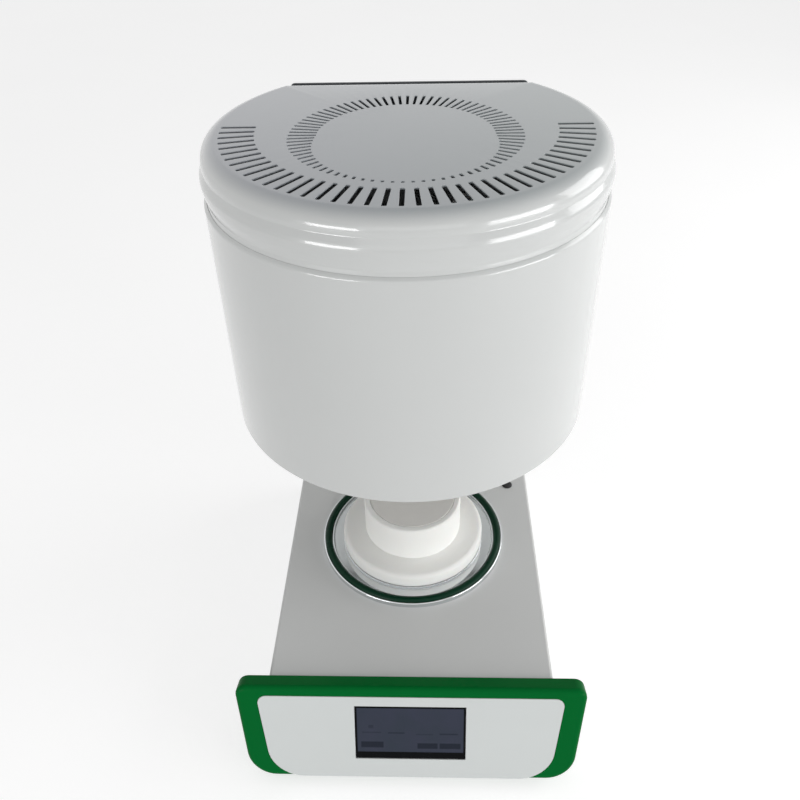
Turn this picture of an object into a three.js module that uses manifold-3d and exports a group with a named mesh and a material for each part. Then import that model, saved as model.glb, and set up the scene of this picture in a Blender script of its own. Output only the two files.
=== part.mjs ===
// Dental porcelain furnace for a bench: a round head travels down a column at the back and seals
// on a platter, where a ceramic pedestal carries the work. Millimetres, +Z up, +Y to the back.
// The origin is on the floor, in the middle of the furnace's outline. The parts are placed about
// the head's own upright axis, which the group called stand carries.

import * as THREE from "three";
import { mergeGeometries, mergeVertices } from "three/addons/utils/BufferGeometryUtils.js";
import Module from "manifold-3d";

const wasm = await Module();
wasm.setup();

// Shared values
const fitGap = 0.3;
const overrun = 5;
const mergeDistance = 1e-4;
const largeRoundSteps = 48;
const roundSteps = 36;
const smallRoundSteps = 12;
const cornerSteps = 4;
const softEdgeSteps = 3;

// Head casing
const headRadius = 150;
const headHeight = 230;
const headFlatSet = 42;
const headGap = 201;
const casingSheet = 1.5;
const sleeveLip = 8;

// Top cover of the head: outline of its edge, from the flat top down to the sleeve
const capHeight = 39.5;
const shoulderRadius = 15;
const shoulderSet = 1;
const shoulderEndDegrees = 20;
const grooveSet = 1;
const grooveDrop = 11.5;
const bulgeDrop = 17.5;
const bulgeEndDrop = 23;
const neckSet = 2.2;
const neckDrop = 33;
const capFootSet = 1.6;
const skirtDepth = 8;
const skirtOverlap = 2;
const skirtSheet = 1.2;

// Vent slots of the top cover
const outerSlotCount = 41;
const outerSlotArcDegrees = 180;
const outerSlotSet = 16.4;
const outerSlotLength = 25.3;
const outerSlotWidth = 3.2;
const innerSlotCount = 80;
const slotRingGap = 8.3;
const innerSlotLength = 20;
const innerSlotWidth = 2.1;
const innerRingForward = 17;
const frontSlotShortening = 0.9;
const frontSlotPower = 1.2;

// Back plate of the head
const backPlateSheet = 2.5;
const backPlateSideSet = 5.6;
const backPlateTopSet = 2.5;

// Floor of the head, chamber flange and vacuum bell
const floorSheet = 2;
const flangeCollarSet = 3;
const flangeCollarWidth = 6;
const flangeWidth = 19;
const flangeCollarHeight = 3;
const bellCollarSet = 2;
const bellSheet = 1.5;
const bellHole = 8;

// Fibre muffle, the fibre ring under it, its lid and the heater tube in it
const chamberShare = 0.675;
const chamberHeight = 86;
const heaterWall = 4;
const heaterGroove = 1.2;
const heaterTurns = 5;
const muffleEntry = 30;
const muffleLedge = 3;
const ledgeSet = 1;
const muffleLidHeight = 28;

// Thermocouple and terminal block
const probeRadius = 1.5;
const probeReach = 14;
const probeCollarRadius = 12;
const probeCollarHeight = 10;
const terminalLength = 50;
const terminalDepth = 22;
const terminalHeight = 18;
const terminalWays = 4;
const terminalWayWidth = 8;
const terminalWayDepth = 6;
const terminalOffset = 46;

// Base housing
const baseHalfWidth = 126;
const baseTop = 92;
const baseRearSet = 2;
const baseSheet = 1.5;
const baseEdgeRadius = 3;
const footHeight = 12;
const footRadius = 15;
const footTaper = 2;
const footInset = 24;
const spigotHole = 30.5;
const screwHole = 8;
const plugRadius = 5.5;
const plugHeight = 2.5;
const plugSideSet = 22;
const plugColumnSet = 38.5;
const rearVentCount = 9;
const rearVentPitch = 9;
const rearVentWidth = 3.2;
const rearVentHeight = 16;
const rearVentCentreHeight = 76;
const floorVentCount = 8;
const floorVentPitch = 12;
const floorVentWidth = 4;
const floorVentLength = 50;
const floorVentForward = 88;

// Front panel: it leans back, and its crease is the front edge of the bezel's top face
const panelTiltDegrees = 20;
const creaseForward = 183.6;
const creaseRise = 7.5;
const bezelDepth = 16.5;
const bezelHeight = 96;
const bezelTopHalf = 154.5;
const bezelBottomHalf = 144.4;
const bezelTopRadius = 10;
const bezelBottomRadius = 26;
const bezelEdge = 2;
const bezelWall = 3;
const bossRadius = 4.5;
const bossAcross = 112;
const bossTop = 16;
const bossBottom = 78;
const fasciaTop = 9;
const fasciaBottom = 95;
const fasciaTopHalf = 134.7;
const fasciaBottomHalf = 124;
const fasciaTopRadius = 8;
const fasciaBottomRadius = 31;
const fasciaSheet = 3;
const fasciaProud = 0.3;
const windowWidth = 97.3;
const windowHeight = 55.4;
const windowTop = 19;
const windowRecess = 0.6;
const glassSheet = 1.8;
const moduleWidth = 105.5;
const moduleHeight = 67.2;
const moduleDepth = 5;
const displayBoardWidth = 120;
const displayBoardHeight = 74;
const displayBoardSheet = 1.6;
const panelHatchWidth = 90;
const panelHatchHeight = 30;
const panelHatchHeightAbovePan = 24;

// Platter, seal ring and the ceramic pedestal
const platterRim = 5.5;
const platterRimWidth = 1.6;
const platterDish = 2.5;
const platterDishSet = 2.2;
const platterEdge = 0.8;
const spigotRadius = 30;
const spigotDepth = 8;
const hoseNippleRadius = 4;
const hoseNippleLength = 10;
const sealBoreSet = 3.7;
const sealWidth = 7.3;
const sealHeight = 4.7;
const sealSeat = 3.5;
const pedestalPlateEdge = 0.6;
const pedestalPlateSheet = 1.5;
const lowerBoreGap = 8.8;
const lowerHeight = 15;
const lowerEdge = 3.5;
const upperChamberGap = 5.7;
const upperHeight = 39;
const upperEdge = 1.8;
const trayInset = 6.3;
const trayThickness = 2.3;
const traySeatDepth = 2;

// Column behind the head
const columnFrontSet = 2.7;
const columnHalfWidth = 105;
const columnRearSet = 26;
const columnTop = 501;
const columnSheet = 1.5;
const columnCornerRadius = 8;
const columnVentCount = 10;
const columnVentPitch = 9;
const columnVentWidth = 90;
const columnVentHeight = 3.5;
const columnVentTopSet = 40;
const liftSet = 32;
const rodRadius = 7;
const rodSpread = 64;
const footPlateHeight = 8;
const topPlateSet = 7;
const topPlateHeight = 8;
const screwRadius = 6;
const journalRadius = 4;
const journalReach = 21;
const rollRadius = 11;
const rollHeight = 6;
const couplingRadius = 10;
const couplingLength = 22;
const couplingBore = 14;
const couplingStubRadius = 2.5;
const couplingStubLength = 11;
const motorWidth = 42;
const motorHeight = 44;
const motorHoleRadius = 3.3;
const motorHoleDepth = 9;
const motorCorner = 4;
const limitWidth = 20;
const limitDepth = 7;
const limitHeight = 10;
const limitSpread = 40;

// Carriage of the head
const carriageHalfWidth = 88;
const carriageDepth = 34;
const carriageBottom = 42;
const carriageHeight = 90;
const armSpread = 36;
const armWidth = 20;
const armHeight = 70;
const armClear = 2;
const armEndClear = 6;
const bearingRadius = 12;
const bearingLength = 86;
const nutRadius = 11;
const nutLength = 36;
const nutFlangeRadius = 17;
const nutFlangeHeight = 6;

// Pieces on the rear wall
const rearRow = 48;
const inletShare = 0.7;
const inletWidth = 50;
const inletHeight = 28;
const inletFlange = 3;
const inletBodySet = 2;
const inletBodyDepth = 22;
const socketWidth = 24;
const socketHeight = 16;
const socketDepth = 16;
const pinWidth = 2;
const pinHeight = 5;
const pinLength = 9;
const pinSpread = 7;
const pinDrop = 2;
const switchShare = 1 / 3;
const switchWidth = 24;
const switchHeight = 32;
const switchFlange = 2.5;
const switchBodySet = 2;
const switchBodyDepth = 16;
const rockerWidth = 13.4;
const rockerHalfLength = 9.7;
const rockerBack = 2.2;
const rockerFront = 4;
const rockerDip = 1.2;
const rockerTiltDegrees = 8;
const rockerSide = 0.5;
const rockerEnd = 1.1;
const rockerCavity = 9;
const fuseShare = 0.37;
const fuseFlangeRadius = 9;
const fuseFlange = 2;
const fuseBodyRadius = 6;
const fuseBodyDepth = 24;
const fuseCapRadius = 6.5;
const fuseCapLength = 8;
const fuseSlotWidth = 1.4;
const fuseSlotDepth = 2;
const portShare = 0.7;
const portFlangeRadius = 10;
const portFlange = 3;
const portStubRadius = 6;
const portStubLength = 14;
const portReach = 18;
const portBore = 2;
const barbCount = 3;
const barbRadius = 4;
const barbNeck = 3;

// Flat cable from the display board to the control board
const cableAcross = -30;
const cableWidth = 24;
const cableSheet = 0.8;
const cableEndGap = 0.5;
const cableRun = 12;
const cableDrop = 50;
const cableSteps = 10;

// Electrics and vacuum pieces inside the base
const supplyWidth = 92;
const supplyDepth = 104;
const supplyHeight = 44;
const supplySideSet = 60;
const supplyMotorGap = 13;
const supplyVentCount = 7;
const supplyVentPitch = 11;
const supplyVentWidth = 4;
const supplyVentLength = 46;
const supplyVentDepth = 1.5;
const carrierDepth = 116;
const carrierSinkGap = 29;
const carrierSideSet = 17;
const carrierSheet = 1.5;
const carrierPostRadius = 4;
const carrierPostHeight = 10;
const carrierPostInset = 8;
const carrierForward = 92;
const boardSheet = 1.6;
const boardPartHeight = 9;
const boardChip = 16;
const boardChipHeight = 1.6;
const boardChipAcross = 16;
const boardConnectorWidth = 60;
const boardConnectorDepth = 9;
const boardConnectorInset = 6;
const boardCapacitorRadius = 7;
const boardCapacitorHeight = 18;
const boardCapacitorAcross = 34;
const boardCapacitorSpread = 16;
const sinkWidth = 60;
const sinkDepth = 78;
const sinkHeight = 26;
const sinkPlate = 5;
const sinkFins = 9;
const sinkFinWidth = 2.4;
const sinkSideSet = 46;
const sinkForward = 90;
const relayWidth = 44;
const relayDepth = 58;
const relayHeight = 22;
const valveBody = 30;
const valveDepth = 36;
const valveHeight = 28;
const valveCoilRadius = 12;
const valveCoilHeight = 24;
const valveBack = 60;
const hoseRadius = 4;
const hoseSides = 8;
const hoseSteps = 18;
const hoseRearBend = 14;
const hoseFrontBend = 22;
const hoseSwing = 18;

// Places and radii that follow from the values above
const outerSlotInner = headRadius - outerSlotSet - outerSlotLength;
const innerSlotOuter = outerSlotInner - slotRingGap - innerRingForward;
const headFlat = headRadius - headFlatSet;
const backPlateHalfWidth = Math.sqrt(headRadius ** 2 - headFlat ** 2) - backPlateSideSet;
const flangeCollarRadius = headFlat - flangeCollarSet;
const flangeRadius = flangeCollarRadius - flangeCollarWidth;
const flangeBore = flangeRadius - flangeWidth;
const bellRadius = flangeCollarRadius - bellCollarSet;
const sealInner = flangeBore + sealBoreSet;
const platterRadius = sealInner + sealWidth + platterRimWidth;
const platterDishRadius = sealInner - platterDishSet;
const lowerRadius = flangeBore - lowerBoreGap;
const pedestalPlateRadius = lowerRadius + pedestalPlateEdge;
const chamberRadius = flangeBore * chamberShare;
const upperRadius = chamberRadius - upperChamberGap;
const trayRadius = upperRadius - trayInset;
const liftLine = headFlat + liftSet;
const columnRear = liftLine + columnRearSet;
const baseRear = columnRear + baseRearSet;
const plugAcross = baseHalfWidth - plugSideSet;
const inletAcross = -baseHalfWidth * inletShare;
const switchAcross = -baseHalfWidth * switchShare;
const fuseAcross = baseHalfWidth * fuseShare;
const portAcross = baseHalfWidth * portShare;
const supplyBack = liftLine - (motorWidth + supplyDepth) / 2 - supplyMotorGap;
const supplyAcross = supplySideSet - baseHalfWidth;
const sinkAcross = baseHalfWidth - sinkSideSet;
const carrierWidth = sinkAcross - sinkWidth / 2 - carrierSinkGap - carrierSideSet + baseHalfWidth;
const carrierAcross = carrierSideSet - baseHalfWidth + carrierWidth / 2;
const headBottom = baseTop + headGap;
const panelTilt = THREE.MathUtils.degToRad(panelTiltDegrees);
const frontReach = creaseForward + fasciaBottom * Math.sin(panelTilt) + fasciaProud * Math.cos(panelTilt);
const rearReach = baseRear + portReach;
const headAxisBack = (frontReach - rearReach) / 2;
const sealTop = sealSeat + sealHeight;
const headTravel = headGap - sealTop - fitGap;
const panFloor = footHeight + baseSheet;
const columnFrontY = headFlat + fitGap + backPlateSheet + columnFrontSet;
const columnInsideY = columnFrontY + columnSheet;
const plugBack = columnFrontY - plugColumnSet;
const flangeTop = casingSheet + floorSheet + flangeCollarHeight;
const chamberTop = muffleEntry + muffleLedge + chamberHeight;
const muffleBore = chamberRadius + heaterWall + fitGap;
const lidTop = chamberTop + fitGap + muffleLidHeight;
const bellTop = lidTop + fitGap + bellSheet;
const topPlateTop = columnTop - topPlateSet;

// Turns a closed geometry into a solid that can be cut and joined.
function solidOf(geometry) {
  const bare = geometry.clone();
  bare.deleteAttribute("normal");
  bare.deleteAttribute("uv");
  const merged = mergeVertices(bare, mergeDistance);
  return new wasm.Manifold(
    new wasm.Mesh({
      numProp: 3,
      vertProperties: merged.attributes.position.array,
      triVerts: new Uint32Array(merged.index.array),
    }),
  );
}

function geometryOf(solid) {
  const mesh = solid.getMesh();
  const geometry = new THREE.BufferGeometry();
  geometry.setAttribute("position", new THREE.BufferAttribute(mesh.vertProperties, 3));
  geometry.setIndex(new THREE.BufferAttribute(mesh.triVerts, 1));
  geometry.computeVertexNormals();
  return geometry;
}

function cut(body, ...tools) {
  return geometryOf(tools.reduce((solid, tool) => solid.subtract(solidOf(tool)), solidOf(body)));
}

function join(...bodies) {
  return geometryOf(bodies.map(solidOf).reduce((sum, solid) => sum.add(solid)));
}

function common(first, second) {
  return geometryOf(solidOf(first).intersect(solidOf(second)));
}

// Places several separate cutters in one geometry.
function together(geometries) {
  const bare = geometries.map((geometry) => {
    const plain = geometry.index ? geometry.toNonIndexed() : geometry.clone();
    plain.deleteAttribute("normal");
    plain.deleteAttribute("uv");
    return plain;
  });
  return mergeGeometries(bare);
}

// A box from its middle across and back, its lowest height and its size.
function block(width, depth, height, x = 0, y = 0, bottom = 0) {
  return new THREE.BoxGeometry(width, depth, height).translate(x, y, bottom + height / 2);
}

// An upright cylinder that stands on the height bottom.
function post(radius, height, x = 0, y = 0, bottom = 0, steps = smallRoundSteps) {
  return new THREE.CylinderGeometry(radius, radius, height, steps)
    .rotateX(Math.PI / 2)
    .translate(x, y, bottom + height / 2);
}

// A shape in plan, raised from the height bottom.
function raised(shape, height, bottom = 0) {
  return new THREE.ExtrudeGeometry(shape, {
    depth: height,
    bevelEnabled: false,
    curveSegments: largeRoundSteps / 2,
  }).translate(0, 0, bottom);
}

// An outline seen from the side, as points of back and up, drawn out across the furnace.
function acrossX(points, width) {
  const shape = new THREE.Shape(points.map(([y, z]) => new THREE.Vector2(y, z)));
  const turn = new THREE.Matrix4().makeBasis(
    new THREE.Vector3(0, 1, 0),
    new THREE.Vector3(0, 0, 1),
    new THREE.Vector3(1, 0, 0),
  );
  return new THREE.ExtrudeGeometry(shape, { depth: width, bevelEnabled: false })
    .applyMatrix4(turn)
    .translate(-width / 2, 0, 0);
}

// A profile of radius and height, turned about the upright axis.
function turned(points, steps = roundSteps) {
  const profile = points.map(([r, z]) => new THREE.Vector2(r, z));
  return new THREE.LatheGeometry(profile, steps).rotateX(Math.PI / 2);
}

// A closed ring profile: the last point meets the first.
function turnedRing(points, steps = roundSteps) {
  return turned([...points, points[0]], steps);
}

// Points of an arc about a centre, from one angle to another.
function arc(centreX, centreY, radius, from, to, steps = cornerSteps) {
  const points = [];
  for (let i = 0; i <= steps; i += 1) {
    const angle = THREE.MathUtils.lerp(from, to, i / steps);
    points.push([centreX + radius * Math.cos(angle), centreY + radius * Math.sin(angle)]);
  }
  return points;
}

// An outline whose corners, given as x, y and radius, are rounded.
function roundedOutline(corners, steps = cornerSteps) {
  const points = [];
  corners.forEach(([x, y, radius], i) => {
    const corner = new THREE.Vector2(x, y);
    const before = corners[(i + corners.length - 1) % corners.length];
    const after = corners[(i + 1) % corners.length];
    const back = new THREE.Vector2(before[0] - x, before[1] - y).normalize();
    const ahead = new THREE.Vector2(after[0] - x, after[1] - y).normalize();
    const half = Math.acos(back.dot(ahead)) / 2;
    const middle = back.clone().add(ahead).normalize();
    const centre = corner.clone().addScaledVector(middle, radius / Math.sin(half));
    const start = corner.clone().addScaledVector(back, radius / Math.tan(half)).sub(centre);
    const end = corner.clone().addScaledVector(ahead, radius / Math.tan(half)).sub(centre);
    const from = start.angle();
    const turn = ((end.angle() - from + 3 * Math.PI) % (2 * Math.PI)) - Math.PI;
    points.push(...arc(centre.x, centre.y, radius, from, from + turn, steps));
  });
  return new THREE.Shape(points.map(([px, py]) => new THREE.Vector2(px, py)));
}

// A disc whose back is cut off flat.
function flatBacked(radius, flat, height, bottom = 0) {
  const disc = post(radius, height, 0, 0, bottom, largeRoundSteps);
  const keepDepth = flat + radius + overrun;
  const keepHeight = height + 2 * overrun;
  const keepWidth = 2 * (radius + overrun);
  return common(disc, block(keepWidth, keepDepth, keepHeight, 0, flat - keepDepth / 2, bottom - overrun));
}

// A wall that follows the edge of a flat-backed disc.
function flatBackedRing(radius, flat, wall, height, bottom = 0) {
  const inner = flatBacked(radius - wall, flat - wall, height + 2 * overrun, bottom - overrun);
  return cut(flatBacked(radius, flat, height, bottom), inner);
}

function material(color, roughness, metalness = 0) {
  return new THREE.MeshStandardMaterial({ color, roughness, metalness });
}

const whitePaint = material(0xdcdedf, 0.22);
const basePaint = material(0xb8b6b8, 0.38);
const darkPaint = material(0x55585a, 0.45);
const greenPlastic = material(0x0b6b2f, 0.35);
const fasciaPlastic = material(0xd2d2d4, 0.4);
const screenGlass = material(0x2b2f3a, 0.12);
const blackPlastic = material(0x17181a, 0.5);
const blackRubber = material(0x141414, 0.85);
const greenSilicone = material(0x0a3f2a, 0.42);
const polishedSteel = material(0xa8acaa, 0.16, 1);
const brushedSteel = material(0x9a9c9e, 0.38, 1);
const galvanised = material(0x9ea2a4, 0.5, 1);
const aluminium = material(0xb4b6b8, 0.4, 1);
const bronze = material(0x9a6f3a, 0.4, 1);
const brass = material(0xb89a4e, 0.3, 1);
const whiteCeramic = material(0xe6e6e2, 0.8);
const greyCeramic = material(0x9c9c98, 0.75);
const fibre = material(0xe4e0d4, 0.95);
const boardGreen = material(0x1f5a38, 0.6);
const clearHose = material(0xcfd6d8, 0.3);
const cableJacket = material(0x8d9196, 0.6);

const furnace = new THREE.Group();
const stand = new THREE.Group();
stand.position.y = headAxisBack;
furnace.add(stand);

function add(group, name, geometry, finish) {
  const mesh = new THREE.Mesh(geometry, finish.clone());
  mesh.name = name;
  group.add(mesh);
  return mesh;
}

function groupAt(parent, x, y, z) {
  const group = new THREE.Group();
  group.position.set(x, y, z);
  parent.add(group);
  return group;
}

// The outline of the top cover's edge at a depth of sheet inside the outer skin, from the top down.
function capEdge(inset) {
  const centre = headRadius - shoulderSet - shoulderRadius;
  const end = THREE.MathUtils.degToRad(shoulderEndDegrees);
  const shoulder = arc(centre, -shoulderRadius, shoulderRadius - inset, Math.PI / 2, end);
  return [
    ...shoulder,
    [headRadius - grooveSet - inset, -grooveDrop],
    [headRadius - inset, -bulgeDrop],
    [headRadius - inset, -bulgeEndDrop],
    [headRadius - neckSet - inset, -neckDrop],
    [headRadius - capFootSet - inset, -capHeight],
  ];
}

// The filled volume inside one skin of the top cover: a turned edge, with a rounded flat back.
function capVolume(inset, bottom) {
  const edge = capEdge(inset);
  const foot = edge[edge.length - 1];
  const round = turned([[0, bottom], [foot[0], bottom], ...edge.reverse(), [0, -inset]], largeRoundSteps);
  const back = headFlat - inset;
  const rear = arc(back - shoulderRadius + inset, -shoulderRadius, shoulderRadius - inset, 0, Math.PI / 2);
  const side = [[-headRadius - overrun, bottom - overrun], [back, bottom - overrun], ...rear];
  return common(round, acrossX([...side, [-headRadius - overrun, -inset]], 2 * (headRadius + overrun)));
}

// One vent slot along its own radius.
function ventSlot(inner, outer, width, angle, forward) {
  const length = outer - inner;
  return block(length, width, casingSheet + 2 * overrun, inner + length / 2, 0, -casingSheet - overrun)
    .rotateZ(angle)
    .translate(0, -forward, 0);
}

// The half ring of long slots round the front of the top cover.
function outerSlots() {
  const arcAngle = THREE.MathUtils.degToRad(outerSlotArcDegrees);
  const slots = [];
  for (let i = 0; i < outerSlotCount; i += 1) {
    const angle = -arcAngle * (i / (outerSlotCount - 1));
    slots.push(ventSlot(outerSlotInner, outerSlotInner + outerSlotLength, outerSlotWidth, angle, 0));
  }
  return slots;
}

// The full inner ring: its slots grow shorter towards the front.
function innerSlots() {
  const slots = [];
  for (let i = 0; i < innerSlotCount; i += 1) {
    const angle = (2 * Math.PI * i) / innerSlotCount;
    const towardsFront = Math.max(0, -Math.sin(angle));
    const share = 1 - frontSlotShortening * towardsFront ** frontSlotPower;
    const inner = innerSlotOuter - innerSlotLength * share;
    slots.push(ventSlot(inner, innerSlotOuter, innerSlotWidth, angle, innerRingForward));
  }
  return slots;
}

function headTopCover() {
  const shell = cut(capVolume(0, -capHeight), capVolume(casingSheet, -capHeight - overrun));
  const set = casingSheet + fitGap;
  const height = skirtDepth + skirtOverlap;
  const bottom = -capHeight - skirtDepth;
  const skirt = flatBackedRing(headRadius - set, headFlat - set, skirtSheet, height, bottom);
  return cut(join(shell, skirt), together([...outerSlots(), ...innerSlots()]));
}

function headSleeve() {
  const wall = flatBackedRing(headRadius, headFlat, casingSheet, headHeight - capHeight - fitGap);
  const lip = flatBackedRing(headRadius, headFlat, sleeveLip, casingSheet);
  return join(wall, lip);
}

function headFloor() {
  const set = casingSheet + fitGap;
  const plate = flatBacked(headRadius - set, headFlat - set, floorSheet, casingSheet);
  const hole = post(flangeRadius + fitGap, floorSheet + 2 * overrun, 0, 0, -overrun, largeRoundSteps);
  return cut(plate, hole);
}

function chamberFlange() {
  return turnedRing(
    [
      [flangeBore, 0],
      [flangeRadius, 0],
      [flangeRadius, casingSheet + floorSheet],
      [flangeCollarRadius, casingSheet + floorSheet],
      [flangeCollarRadius, flangeTop],
      [flangeBore, flangeTop],
    ],
    largeRoundSteps,
  );
}

function vacuumBell() {
  return turnedRing([
    [bellRadius - bellSheet, flangeTop],
    [bellRadius, flangeTop],
    [bellRadius, bellTop],
    [bellHole, bellTop],
    [bellHole, bellTop - bellSheet],
    [bellRadius - bellSheet, bellTop - bellSheet],
  ]);
}

// The fibre ring on the flange, which keeps its bore's width.
function muffleRing() {
  const outer = bellRadius - bellSheet - fitGap;
  return turnedRing([
    [flangeBore, flangeTop],
    [outer, flangeTop],
    [outer, muffleEntry],
    [flangeBore, muffleEntry],
  ]);
}

// The muffle on that ring: its bore has a ledge that the heater tube stands on.
function muffle() {
  const outer = bellRadius - bellSheet - fitGap;
  return turnedRing([
    [chamberRadius + ledgeSet, muffleEntry],
    [outer, muffleEntry],
    [outer, chamberTop],
    [muffleBore, chamberTop],
    [muffleBore, muffleEntry + muffleLedge],
    [chamberRadius + ledgeSet, muffleEntry + muffleLedge],
  ]);
}

function muffleLid() {
  return turnedRing([
    [probeRadius + fitGap, chamberTop + fitGap],
    [bellRadius - bellSheet - fitGap, chamberTop + fitGap],
    [bellRadius - bellSheet - fitGap, lidTop],
    [probeRadius + fitGap, lidTop],
  ]);
}

// The heater tube: the wire's turns show as grooves in its bore.
function heaterTube() {
  const bottom = muffleEntry + muffleLedge;
  const pitch = chamberHeight / heaterTurns;
  const bore = [];
  for (let i = heaterTurns; i > 0; i -= 1) {
    bore.push([chamberRadius, bottom + pitch * i]);
    bore.push([chamberRadius + heaterGroove, bottom + pitch * (i - 1 / 2)]);
  }
  bore.push([chamberRadius, bottom]);
  const wall = chamberRadius + heaterWall;
  return turnedRing([[wall, bottom], [wall, bottom + chamberHeight], ...bore]);
}

function thermocouple() {
  return turned(
    [
      [0, chamberTop - probeReach],
      [probeRadius, chamberTop - probeReach],
      [probeRadius, bellTop],
      [probeCollarRadius, bellTop],
      [probeCollarRadius, bellTop + probeCollarHeight],
      [0, bellTop + probeCollarHeight],
    ],
    smallRoundSteps,
  );
}

function terminalBlock() {
  const body = block(terminalDepth, terminalLength, terminalHeight);
  const pitch = terminalLength / terminalWays;
  const ways = [];
  for (let i = 0; i < terminalWays; i += 1) {
    const y = (i - (terminalWays - 1) / 2) * pitch;
    const bottom = terminalHeight - terminalWayDepth;
    ways.push(block(terminalWayWidth, terminalWayWidth, terminalWayDepth + overrun, 0, y, bottom));
  }
  return cut(body, together(ways));
}

// The carriage: a block bored for its bearings and nut, with two arms to the head's back plate.
function carriage() {
  const armFront = headFlat + fitGap + backPlateSheet + fitGap;
  const blockFront = liftLine - carriageDepth / 2;
  const armLength = blockFront - armFront + overrun;
  const armBottom = carriageBottom + (carriageHeight - armHeight) / 2;
  const armY = armFront + armLength / 2;
  const body = join(
    block(2 * carriageHalfWidth, carriageDepth, carriageHeight, 0, liftLine, carriageBottom),
    block(armWidth, armLength, armHeight, -armSpread, armY, armBottom),
    block(armWidth, armLength, armHeight, armSpread, armY, armBottom),
  );
  const boreHeight = carriageHeight + 2 * overrun;
  const boreBottom = carriageBottom - overrun;
  return cut(
    body,
    post(bearingRadius + fitGap, boreHeight, -rodSpread, liftLine, boreBottom),
    post(bearingRadius + fitGap, boreHeight, rodSpread, liftLine, boreBottom),
    post(nutRadius + fitGap, boreHeight, 0, liftLine, boreBottom),
  );
}

function linearBearing() {
  return turnedRing(
    [
      [rodRadius + fitGap, 0],
      [bearingRadius, 0],
      [bearingRadius, bearingLength],
      [rodRadius + fitGap, bearingLength],
    ],
    smallRoundSteps,
  );
}

function leadNut() {
  return turnedRing(
    [
      [screwRadius + fitGap, 0],
      [nutFlangeRadius, 0],
      [nutFlangeRadius, nutFlangeHeight],
      [nutRadius, nutFlangeHeight],
      [nutRadius, nutLength],
      [screwRadius + fitGap, nutLength],
    ],
    smallRoundSteps,
  );
}

function buildHead() {
  const head = groupAt(stand, 0, 0, headBottom);
  add(head, "head_top_cover", headTopCover(), whitePaint).position.z = headHeight;
  add(head, "head_sleeve", headSleeve(), whitePaint);
  add(head, "head_floor", headFloor(), galvanised);
  add(head, "chamber_flange", chamberFlange(), polishedSteel);
  add(head, "vacuum_bell", vacuumBell(), brushedSteel);
  add(head, "muffle_ring", muffleRing(), fibre);
  add(head, "muffle", muffle(), fibre);
  add(head, "muffle_lid", muffleLid(), fibre);
  add(head, "heater_tube", heaterTube(), whiteCeramic);
  add(head, "thermocouple", thermocouple(), whiteCeramic);
  add(head, "terminal_block", terminalBlock(), whiteCeramic).position.set(terminalOffset, 0, bellTop);
  const plateHeight = headHeight - backPlateTopSet;
  const plateY = headFlat + fitGap + backPlateSheet / 2;
  const plate = block(2 * backPlateHalfWidth, backPlateSheet, plateHeight);
  add(head, "head_back_plate", plate, darkPaint).position.y = plateY;
  add(head, "carriage", carriage(), aluminium);
  const bearingBottom = carriageBottom + (carriageHeight - bearingLength) / 2;
  const left = add(head, "linear_bearing_left", linearBearing(), brushedSteel);
  left.position.set(-rodSpread, liftLine, bearingBottom);
  const right = add(head, "linear_bearing_right", linearBearing(), brushedSteel);
  right.position.set(rodSpread, liftLine, bearingBottom);
  const nutBottom = carriageBottom - nutFlangeHeight - fitGap;
  add(head, "lead_nut", leadNut(), bronze).position.set(0, liftLine, nutBottom);
}

// How far back the plane behind the bezel lies at a height, moved back by an offset.
function panelPlane(height, offset) {
  const backY = -creaseForward + bezelDepth * Math.cos(panelTilt);
  const backZ = baseTop + creaseRise - bezelDepth * Math.sin(panelTilt);
  return backY + (height - backZ) * Math.tan(panelTilt) + offset / Math.cos(panelTilt);
}

// The cover is a folded sheet: its section across the furnace is cut off along the leaning front.
function baseCover() {
  const half = baseHalfWidth;
  const inner = baseHalfWidth - baseSheet;
  const outerTop = baseTop - baseEdgeRadius;
  const bend = baseEdgeRadius - baseSheet;
  const outline = [
    [-half, footHeight],
    [-inner, footHeight],
    ...arc(-inner + bend, outerTop, bend, Math.PI, Math.PI / 2),
    ...arc(inner - bend, outerTop, bend, Math.PI / 2, 0),
    [inner, footHeight],
    [half, footHeight],
    ...arc(half - baseEdgeRadius, outerTop, baseEdgeRadius, 0, Math.PI / 2),
    ...arc(-half + baseEdgeRadius, outerTop, baseEdgeRadius, Math.PI / 2, Math.PI),
  ];
  const section = new THREE.Shape(outline.map(([x, z]) => new THREE.Vector2(x, z)));
  const length = baseRear - panelPlane(footHeight, 0) + overrun;
  const folded = raised(section, length).rotateX(Math.PI / 2).translate(0, baseRear, 0);
  const side = [
    [panelPlane(footHeight - overrun, fitGap), footHeight - overrun],
    [baseRear + overrun, footHeight - overrun],
    [baseRear + overrun, baseTop + overrun],
    [panelPlane(baseTop + overrun, fitGap), baseTop + overrun],
  ];
  const holeHeight = baseSheet + 2 * overrun;
  const holeBottom = baseTop - baseSheet - overrun;
  return cut(
    common(folded, acrossX(side, 2 * half + 2 * overrun)),
    post(spigotHole, holeHeight, 0, 0, holeBottom, roundSteps),
    post(screwHole, holeHeight, 0, liftLine, holeBottom),
  );
}

// A row of upright slots through a wall that faces back.
function slotRow(count, pitch, width, height, y, bottom) {
  const slots = [];
  for (let i = 0; i < count; i += 1) {
    const x = (i - (count - 1) / 2) * pitch;
    slots.push(block(width, 2 * overrun, height, x, y, bottom));
  }
  return slots;
}

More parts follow.
